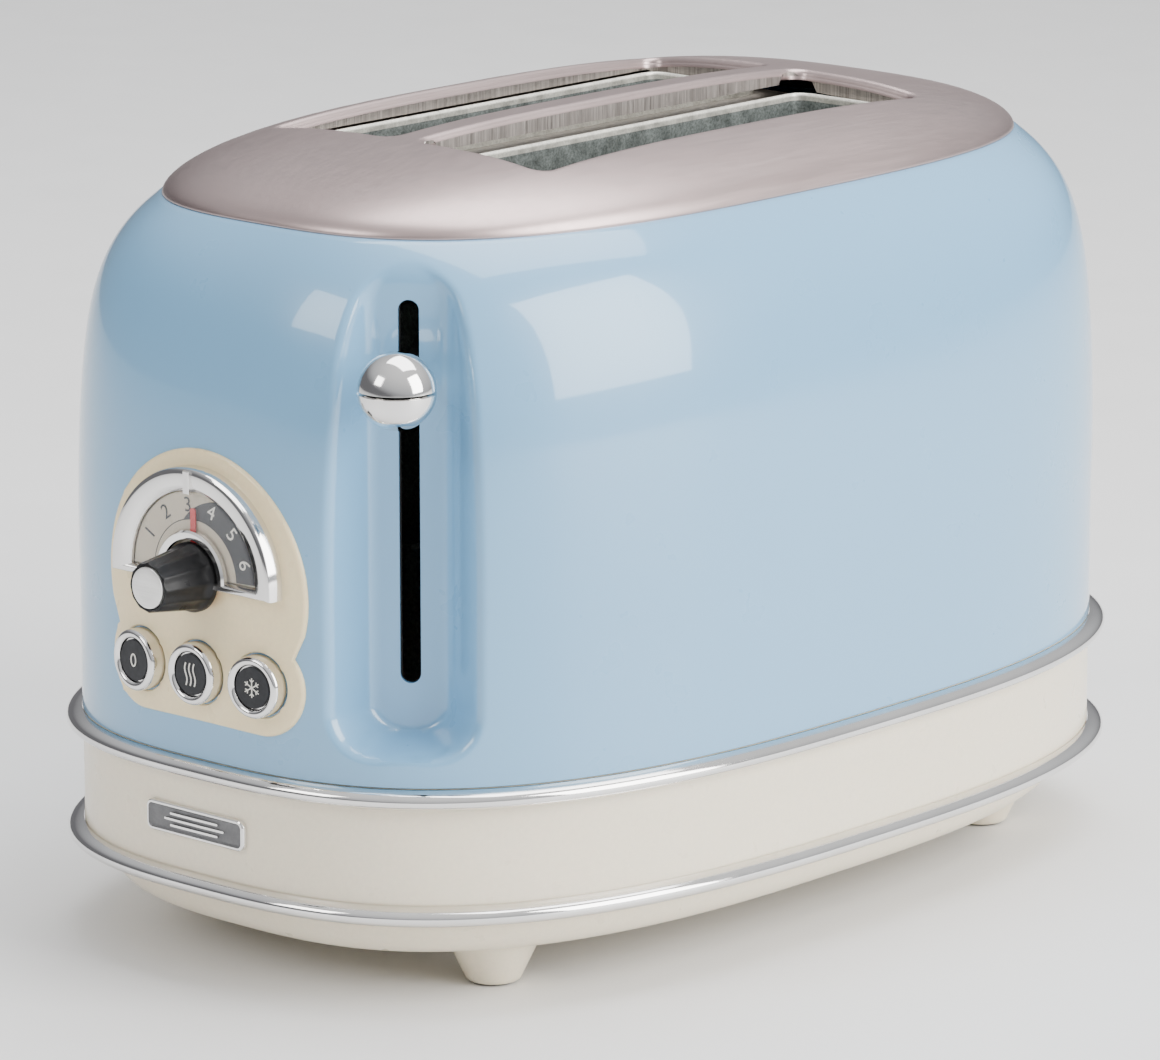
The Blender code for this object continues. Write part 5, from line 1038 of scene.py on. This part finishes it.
def heaters():
    """Notched mica cards wound with flat heating wire."""
    for name in ("left", "middle", "right"):
        node = f"heater_card_{name}"
        (x0, y0, z0), (x1, y1, z1) = low(node), high(node)
        strip, side_margin, end_margin, turns = 0.0005, 0.004, 0.006, 26
        wound = (x1 - x0) / 2.0 * 0.3
        pitch = (z1 - z0 - 2.0 * end_margin) / turns
        parts = [(*box((x0 + wound, y0, z0), (x1 - wound, y1, z1)), 0)]
        for i in range(turns):
            z = z0 + end_margin + pitch * (i + 0.5)
            for left, right in ((x0, x0 + wound), (x1 - wound, x1)):
                lower, upper = (left, y0 + side_margin, z - strip), (right, y1 - side_margin, z + strip)
                parts.append((*box(lower, upper), 1))
        piece(f"{node}_wound", parts, [MICA, NICHROME], "root", [node])


def return_spring():
    lower, upper = low("return_spring"), high("return_spring")
    centre = ((lower[0] + upper[0]) / 2.0, (lower[1] + upper[1]) / 2.0)
    radius = (upper[0] - lower[0]) / 2.0 - 0.0005
    turns = 15
    steps = turns * 18
    bottom, top = lower[2] + 0.0005, upper[2] - 0.0005
    path = []
    for i in range(steps + 1):
        turn = 2.0 * math.pi * turns * i / steps
        path.append((centre[0] + radius * math.cos(turn), centre[1] + radius * math.sin(turn),
                     bottom + (top - bottom) * i / steps))
    spring = piece("return_spring_coil", [wire(path, 0.0005, 8)], [GALVANISED], None, ["return_spring"])
    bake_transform(spring)


def lever_ball():
    """Polished ball in two halves with a seam between them."""
    centre = to_lever(0.0, BALL_OUT, BALL_Z)
    seam, edge = 0.0002, 0.00025
    for name, up in (("lower", -1), ("upper", 1)):
        rings = []
        profile = [(BALL_RADIUS * 0.3, seam), (BALL_RADIUS - 2.0 * edge, seam)]
        for i in range(29):
            turn = math.radians(2.2 + (89.0 - 2.2) * i / 28.0)
            profile.append((BALL_RADIUS * math.cos(turn), max(seam + edge, BALL_RADIUS * math.sin(turn))))
        for radius, rise in profile:
            rings.append([(x, y, centre.z + up * rise) for x, y in circle((centre.x, centre.y), radius, 72)])
        points, faces = loft(rings)
        if up < 0:
            faces = [tuple(reversed(face)) for face in faces]
        piece(f"lever_knob_{name}_polished", [(points, faces)], [CHROME], "carriage", [f"lever_knob_{name}"],
              sharp=50.0)


# ---------------------------------------------------------------- controls
def control_fascia():
    edge = 0.0009

    def front(x, z):
        return (x, shell_front_y(x, z, FASCIA_PROUD) + fascia_round(x, z), z)

    def back(x, z):
        return (x, shell_front_y(x, z, FASCIA_PROUD - FASCIA_THICKNESS), z)

    rounding = {}

    def fascia_round(x, z):
        return rounding.get((round(x, 7), round(z, 7)), 0.0)

    loops = []
    for inset in (0.0, 0.0001, 0.0003, 0.0006, 0.0009, 0.0015):
        loop = fascia_outline(-inset)
        drop = edge - math.sqrt(max(0.0, edge ** 2 - (edge - min(inset, edge)) ** 2))
        for x, z in loop:
            rounding[(round(x, 7), round(z, 7))] = drop
        loops.append(loop)
    holes = []
    for _, x in BUTTONS:
        hole = []
        for grow in (0.0, 0.0003, 0.0008):
            loop = circle((x, BUTTON_Z), BUTTON_RADIUS + 0.0004 + grow, 48)
            drop = 0.0004 - math.sqrt(max(0.0, 0.0004 ** 2 - (0.0004 - min(grow, 0.0004)) ** 2))
            for u, z in loop:
                rounding[(round(u, 7), round(z, 7))] = drop
            hole.append(loop)
        holes.append(hole)
    return piece("control_fascia_moulded", [sheet(loops, holes, 0.003, front, back)], [WARM_CREAM], "root",
                 ["control_fascia"], sharp=35.0)


def button_matrix(x):
    place = Vector((x, shell_front_y(x, BUTTON_Z, FASCIA_PROUD), BUTTON_Z))
    angle = front_normal_angle(x, BUTTON_Z) if x else 0.0
    return Matrix.Translation(place) @ Matrix.Rotation(angle, 4, "Z")


def icon_strokes(name):
    """Flat symbols as (points, width): a nought, three heat waves or a snow crystal."""
    size = 0.0026
    if name == "cancel":
        return [([(0.00095 * math.cos(a), 0.0016 * math.sin(a))
                  for a in (2.0 * math.pi * i / 32.0 for i in range(33))], 0.00038)]
    if name == "reheat":
        strokes = []
        for k in (-1, 0, 1):
            shares = [i / 16.0 for i in range(17)]
            wave = [(k * 0.0015 + 0.0004 * math.sin(2.0 * math.pi * share), 0.0030 * (2.0 * share - 1.0))
                    for share in shares]
            strokes.append((wave, 0.00038))
        return strokes
    strokes = []
    for k in range(6):
        turn = math.radians(60.0 * k + 30.0)
        c, s = math.cos(turn), math.sin(turn)
        strokes.append(([(0.0, 0.0), (size * c, size * s)], 0.00028))
        for fork in (-1, 1):
            fc, fs = math.cos(turn + fork * 0.85), math.sin(turn + fork * 0.85)
            base = (size * 0.58 * c, size * 0.58 * s)
            strokes.append(([base, (base[0] + size * 0.34 * fc, base[1] + size * 0.34 * fs)], 0.00024))
    return strokes


def stroke_solid(points, width, place):
    """Thin raised stroke along flat points."""
    left, right = [], []
    for i, (u, v) in enumerate(points):
        u0, v0 = points[max(i - 1, 0)]
        u1, v1 = points[min(i + 1, len(points) - 1)]
        length = math.hypot(u1 - u0, v1 - v0) or 1.0
        du, dv = -(v1 - v0) / length * width / 2.0, (u1 - u0) / length * width / 2.0
        left.append((u + du, v + dv))
        right.append((u - du, v - dv))
    rings = [[place(*left[i], 0.0), place(*left[i], 1.0), place(*right[i], 1.0), place(*right[i], 0.0)]
             for i in range(len(points))]
    return loft(rings)


def buttons():
    for name, x in BUTTONS:
        seat = button_matrix(x)
        disc = BUTTON_RADIUS - BUTTON_RIM
        half_rim = (BUTTON_RIM - GAP) / 2.0
        profile = [(0.003, 0.0055), (BUTTON_RADIUS, 0.0055)]
        for i in range(13):
            turn = math.radians(180.0 * i / 12.0)
            profile.append((BUTTON_RADIUS - half_rim * (1.0 - math.cos(turn)),
                            -BUTTON_PROUD + half_rim * (1.0 - math.sin(turn))))
        profile += [(disc + GAP, -BUTTON_PROUD + 0.0015), (0.001, -BUTTON_PROUD + 0.0015)]
        body = f"{name}_push"
        piece(f"{name}_button_polished", [turned(profile, seat, 80)], [CHROME], body, [f"{name}_button"],
              sharp=45.0)
        face = -BUTTON_PROUD + 2.0 * GAP
        shape = turned([(disc, face + 0.0009), (disc, face + 0.0002), (disc - 0.0002, face), (0.001, face)],
                       seat, 72)
        parts = [(*shape, 0)]

        def place(u, v, depth):
            return seat @ Vector((u, face - 0.00012 * depth, v))

        for points, width in icon_strokes(name):
            parts.append((*stroke_solid(points, width, place), 1))
        piece(f"{name}_button_face", parts, [DARK_GREY, LIGHT_INK], body, [f"{name}_button_disc"])


def d_outline(radius, floor, steps=64):
    """Half-round outline about the hub: an arch standing on a flat bar."""
    start = math.degrees(math.asin(max(-1.0, min(1.0, floor / radius))))
    if floor < 0.0:
        return ([(radius, HUB_Z + floor)] + arc((0.0, HUB_Z), radius, 0.0, 180.0, steps)
                + [(-radius, HUB_Z + floor)])
    points = arc((0.0, HUB_Z), radius, start, 180.0 - start, steps)
    return [points[0]] + points + [points[-1]]


def dial_bezel():
    depth = HUB_FACE_Y + 0.004 - BEZEL_FRONT_Y
    inner_radius = DIAL_OUTER_RADIUS - DIAL_RIM
    profile = ((0.0, depth), (0.0, 0.0011), (0.0003, 0.0005), (0.0009, 0.00015), (0.0016, 0.0), (0.0044, 0.0),
               (0.0049, 0.0002), (DIAL_RIM, 0.0016), (DIAL_RIM, depth))
    rings = []
    for inset, y in profile:
        floor = -DIAL_BAR_HEIGHT + DIAL_BAR_HEIGHT * inset / DIAL_RIM
        outline = d_outline(DIAL_OUTER_RADIUS - inset, min(floor, -1e-6))
        rings.append([(u, BEZEL_FRONT_Y + y, v) for u, v in outline])
    parts = [loft(rings, closed=True)]
    outside, within = HUB_RING_OUTER_RADIUS, HUB_RING_INNER_RADIUS
    profile = ((outside, 0.0018), (outside, 0.0006), (outside - 0.0005, 0.0), (within + 0.0010, 0.0),
               (within + 0.0003, 0.0003), (within, 0.0009), (within, 0.0018))
    rings = []
    for u, v in arc((0.0, 0.0), 1.0, -2.0, 182.0, 64):
        rings.append([(r * u, BEZEL_FRONT_Y + y, HUB_Z + r * v) for r, y in profile])
    parts.append(loft(rings))
    base_z = HUB_Z + inner_radius - 0.0004
    top_z = HUB_Z + DIAL_OUTER_RADIUS - 0.0006
    half, rise = 0.0011, INDEX_RISE
    index_outline = rectangle(-half, base_z, half, top_z)
    rings = []
    for inset, y in ((0.0, 0.0016), (0.0, -rise + 0.0002), (0.0002, -rise)):
        rings.append([(x - math.copysign(inset, x), BEZEL_FRONT_Y + y, z + inset * (1 if z == base_z else -1))
                      for x, z in index_outline])
    parts.append(loft(rings))
    return piece("dial_bezel_polished", parts, [CHROME], "root", ["dial_bezel"], sharp=30.0)


def polar(radius, degrees):
    """Point on the dial; 0 degrees is straight up and positive is to the right."""
    turn = math.radians(90.0 - degrees)
    return radius * math.cos(turn), HUB_Z + radius * math.sin(turn)


def band_outline(start, end, inner, outer, steps=40):
    """Band on the dial between two angles, whose radii are functions of the share of the way."""
    shares = [i / steps for i in range(steps + 1)]
    outside = [polar(outer(s), start + (end - start) * s) for s in shares]
    inner_side = [polar(inner(s), start + (end - start) * s) for s in reversed(shares)]
    return outside + inner_side


def number(text, size, degrees, radius, face_y, ink):
    """One dial number as thin raised print."""
    curve = bpy.data.curves.new(f"digit_{text}", "FONT")
    curve.body = text
    curve.size = size
    curve.align_x = "CENTER"
    curve.align_y = "CENTER"
    curve.extrude = 0.00003
    holder = bpy.data.objects.new(f"digit_{text}", curve)
    bpy.context.collection.objects.link(holder)
    graph = bpy.context.evaluated_depsgraph_get()
    mesh = bpy.data.meshes.new_from_object(holder.evaluated_get(graph))
    bpy.data.objects.remove(holder)
    place_x, place_z = polar(radius, degrees)
    upright = Matrix.Rotation(math.radians(degrees), 4, "Y") @ Matrix.Rotation(math.radians(90.0), 4, "X")
    mesh.transform(Matrix.Translation(Vector((place_x, face_y, place_z)) + SHIFT) @ upright)
    mesh.materials.append(ink)
    made = bpy.data.objects.new(f"dial_number_{text}", mesh)
    bpy.context.collection.objects.link(made)
    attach(made, "root")


def dial_face():
    inner_radius = DIAL_OUTER_RADIUS - DIAL_RIM - GAP
    near, far = low("dial_face")[1], high("dial_face")[1]
    outline = arc((0.0, HUB_Z), inner_radius, 1.0, 179.0, 64) + arc((0.0, HUB_Z), 0.0039, 175.0, 5.0, 24)
    parts = [(*slab(outline, along_y, near, far), 0)]
    ink_front, ink_back = near - 0.00005, near + 0.0001
    line_radius, wedge_start, widest = 0.0148, 0.0150, inner_radius - 0.0002
    wedge = band_outline(-16.0, 88.0, lambda s: line_radius,
                         lambda s: wedge_start + (widest - wedge_start) * min(1.0, s * 2.9))
    line = band_outline(-86.0, -16.0, lambda s: line_radius, lambda s: line_radius + 0.00023)
    parts += [(*slab(print_outline, along_y, ink_front, ink_back), 1) for print_outline in (wedge, line)]
    # the face's cream carries painted shade for its recess behind the window
    piece("dial_face_printed", parts, [DIAL_CREAM_WITH_PAINTED_SHADE, DARK_INK], "root", ["dial_face"])
    first_angle, angle_step, number_radius, number_size = -61.0, 26.7, 0.0186, 0.0056
    for i in range(6):
        ink = DARK_INK if i < 3 else LIGHT_INK
        number(str(i + 1), number_size, first_angle + angle_step * i, number_radius, ink_front - 0.00004, ink)


def dial_pointer():
    near, far = low("dial_pointer")[1], high("dial_pointer")[1]
    tip = high("dial_pointer")[2] - HUB_Z
    root, half = 0.0084, 0.0009
    outline = arc((0.0, HUB_Z), root, 96.2, 443.8, 60)
    outline += [(half, HUB_Z + tip - 0.0004), (half - 0.0004, HUB_Z + tip), (0.0004 - half, HUB_Z + tip),
                (-half, HUB_Z + tip - 0.0004)]
    hole = circle((0.0, HUB_Z), 0.0031, 24)
    parts = [sheet([outline], [[hole]], 0.02, lambda x, z: (x, near, z), lambda x, z: (x, far, z))]
    return piece("dial_pointer_printed", parts, [RED], "browning_knob", ["dial_pointer"])


def dial_window():
    hub = (0.0, HUB_Z)
    outline = arc(hub, DIAL_OUTER_RADIUS - DIAL_RIM - GAP, 1.0, 179.0, 64)
    outline += arc(hub, HUB_RING_OUTER_RADIUS + GAP, 178.5, 1.5, 48)
    shape = slab(outline, along_y, low("dial_window")[1], high("dial_window")[1])
    piece("dial_window_clear", [shape], [WINDOW], "root", ["dial_window"])


def knob():
    lower, upper = low("knob_body"), high("knob_body")
    front, back = lower[1], upper[1]
    base = (upper[0] - lower[0]) / 2.0
    tip = base * 0.73
    flutes, sides = 12, 12 * 14
    seat = 0.0058
    profile = [(base, back, 0.0), (base, back - 0.0012, 0.0), (base - 0.0003, back - 0.0018, 0.3),
               (base - 0.0007, back - 0.003, 1.0)]
    for share in (i / 8.0 for i in range(1, 9)):
        profile.append((base - 0.0007 + (tip - base + 0.0007) * share,
                        back - 0.003 + (front + 0.0036 - back) * share, 1.0))
    profile += [(tip - 0.0001, front + 0.0003, 0.8), (tip - 0.0003, front + 0.0001, 0.4),
                (tip - 0.0006, front, 0.0), (seat + 0.0002, front, 0.0), (seat, front + 0.0002, 0.0),
                (seat, front + 0.0013, 0.0)]
    rings = []
    for radius, y, flute in profile:
        ring = []
        for i in range(sides):
            angle = 2.0 * math.pi * i / sides
            r = radius - flute * 0.00042 * (0.5 - 0.5 * math.cos(flutes * angle)) ** 0.6
            ring.append((r * math.cos(angle), y, HUB_Z + r * math.sin(angle)))
        rings.append(ring)
    piece("knob_body_fluted", [loft(rings)], [BLACK], "browning_knob", ["knob_body"], sharp=35.0)
    lower, upper = low("knob_cap"), high("knob_cap")
    radius = (upper[0] - lower[0]) / 2.0
    cap_front, cap_back = lower[1], upper[1]
    place = Matrix.Translation((0.0, 0.0, HUB_Z))
    profile = [(radius, cap_back), (radius, cap_front + 0.0003), (radius - 0.0001, cap_front + 0.0001),
               (radius - 0.0004, cap_front), (radius * 0.55, cap_front + 0.00012),
               (0.0003, cap_front + 0.00016)]
    piece("knob_cap_spun", [turned(profile, place, 72)], [SILVER], "browning_knob", ["knob_cap"])


# ---------------------------------------------------------------- carried-over CAD nodes
GALVANISED_NODES = ["front_chassis_plate", "rear_chassis_plate", "reflector_left", "reflector_right",
                    "carriage_plate", "lift_rack_left", "lift_rack_right", "armature_plate", "lever_arm",
                    "crumb_tray", "tray_rail_left", "tray_rail_right", "knob_shaft", "potentiometer"]
GALVANISED_NODES += [f"base_screw_{corner}" for corner in CORNERS]
CARRIED_FINISHES = dict.fromkeys(GALVANISED_NODES, GALVANISED)
CARRIED_FINISHES.update(guide_rod=CHROME, electromagnet=DARK_GREY, control_board=BOARD,
                        lever_slot_guide=BLACK, cord_gland=BLACK)


def finish_carried_nodes():
    for node, finish in CARRIED_FINISHES.items():
        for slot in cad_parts[node].material_slots:
            slot.material = finish


# ---------------------------------------------------------------- stage, light and camera
def stage():
    size = 3.0
    mesh = bpy.data.meshes.new("floor")
    mesh.from_pydata([(-size, -size, 0.0), (size, -size, 0.0), (size, size, 0.0), (-size, size, 0.0)], [],
                     [(0, 1, 2, 3)])
    mesh.materials.append(make_floor())
    floor = bpy.data.objects.new("floor", mesh)
    bpy.context.collection.objects.link(floor)
    world = bpy.data.worlds.new("studio")
    bpy.context.scene.world = world
    world.use_nodes = True
    tree = world.node_tree
    background = tree.nodes["Background"]
    coordinates = tree.nodes.new("ShaderNodeTexCoord")
    towards_light = tree.nodes.new("ShaderNodeVectorMath")
    towards_light.operation = "DOT_PRODUCT"
    towards_light.inputs[1].default_value = (0.30, 0.10, 0.95)
    ramp = tree.nodes.new("ShaderNodeValToRGB")
    tree.links.new(coordinates.outputs["Generated"], towards_light.inputs[0])
    tree.links.new(towards_light.outputs["Value"], ramp.inputs["Fac"])
    tree.links.new(ramp.outputs["Color"], background.inputs["Color"])
    elements = ramp.color_ramp.elements
    elements[0].position, elements[0].color = 0.0, (0.16, 0.16, 0.17, 1.0)
    elements[1].position, elements[1].color = 1.0, (1.0, 1.0, 1.0, 1.0)
    middle = elements.new(0.30)
    middle.color = (0.55, 0.56, 0.58, 1.0)
    background.inputs["Strength"].default_value = 1.15


def area_light(name, place, target, size, power, colour=(1.0, 1.0, 1.0)):
    light = bpy.data.lights.new(name, "AREA")
    light.shape = "RECTANGLE"
    light.size, light.size_y = size
    light.energy = power
    light.color = colour
    holder = bpy.data.objects.new(name, light)
    bpy.context.collection.objects.link(holder)
    holder.location = place
    holder.rotation_euler = (Vector(target) - Vector(place)).to_track_quat("-Z", "Y").to_euler()


def lights():
    middle = (0.0, 0.0, 0.1)
    area_light("key", (1.7, 0.4, 0.9), middle, (1.2, 1.5), 62.0, (1.0, 0.99, 0.97))
    area_light("front", (-0.5, -1.7, 1.2), middle, (0.8, 0.8), 13.0, (1.0, 0.985, 0.96))
    area_light("top", (0.0, 0.4, 1.7), middle, (1.6, 1.2), 34.0)


def camera():
    azimuth, elevation, distance = math.radians(41.66), math.radians(13.34), 1.859
    target = SHIFT + Vector((0.0, 0.0, 0.095))
    away = Vector((math.sin(azimuth) * math.cos(elevation), -math.cos(azimuth) * math.cos(elevation),
                   math.sin(elevation)))
    data = bpy.data.cameras.new("camera")
    data.lens = 209.3
    data.sensor_width = 36.0
    data.shift_x = -0.0168
    data.shift_y = -0.001
    holder = bpy.data.objects.new("camera", data)
    bpy.context.collection.objects.link(holder)
    holder.location = target + away * distance
    holder.rotation_euler = (-away).to_track_quat("-Z", "Y").to_euler()
    bpy.context.scene.camera = holder


camera()
stage()
lights()
outer_shell()
top_plate()
slot_collar()
trim_ring("upper_trim_ring")
trim_ring("lower_trim_ring")
base_band()
tray_panel()
base_pan()
name_badge()
bread_guards()
heaters()
return_spring()
lever_ball()
control_fascia()
buttons()
dial_bezel()
dial_face()
dial_pointer()
dial_window()
knob()
finish_carried_nodes()
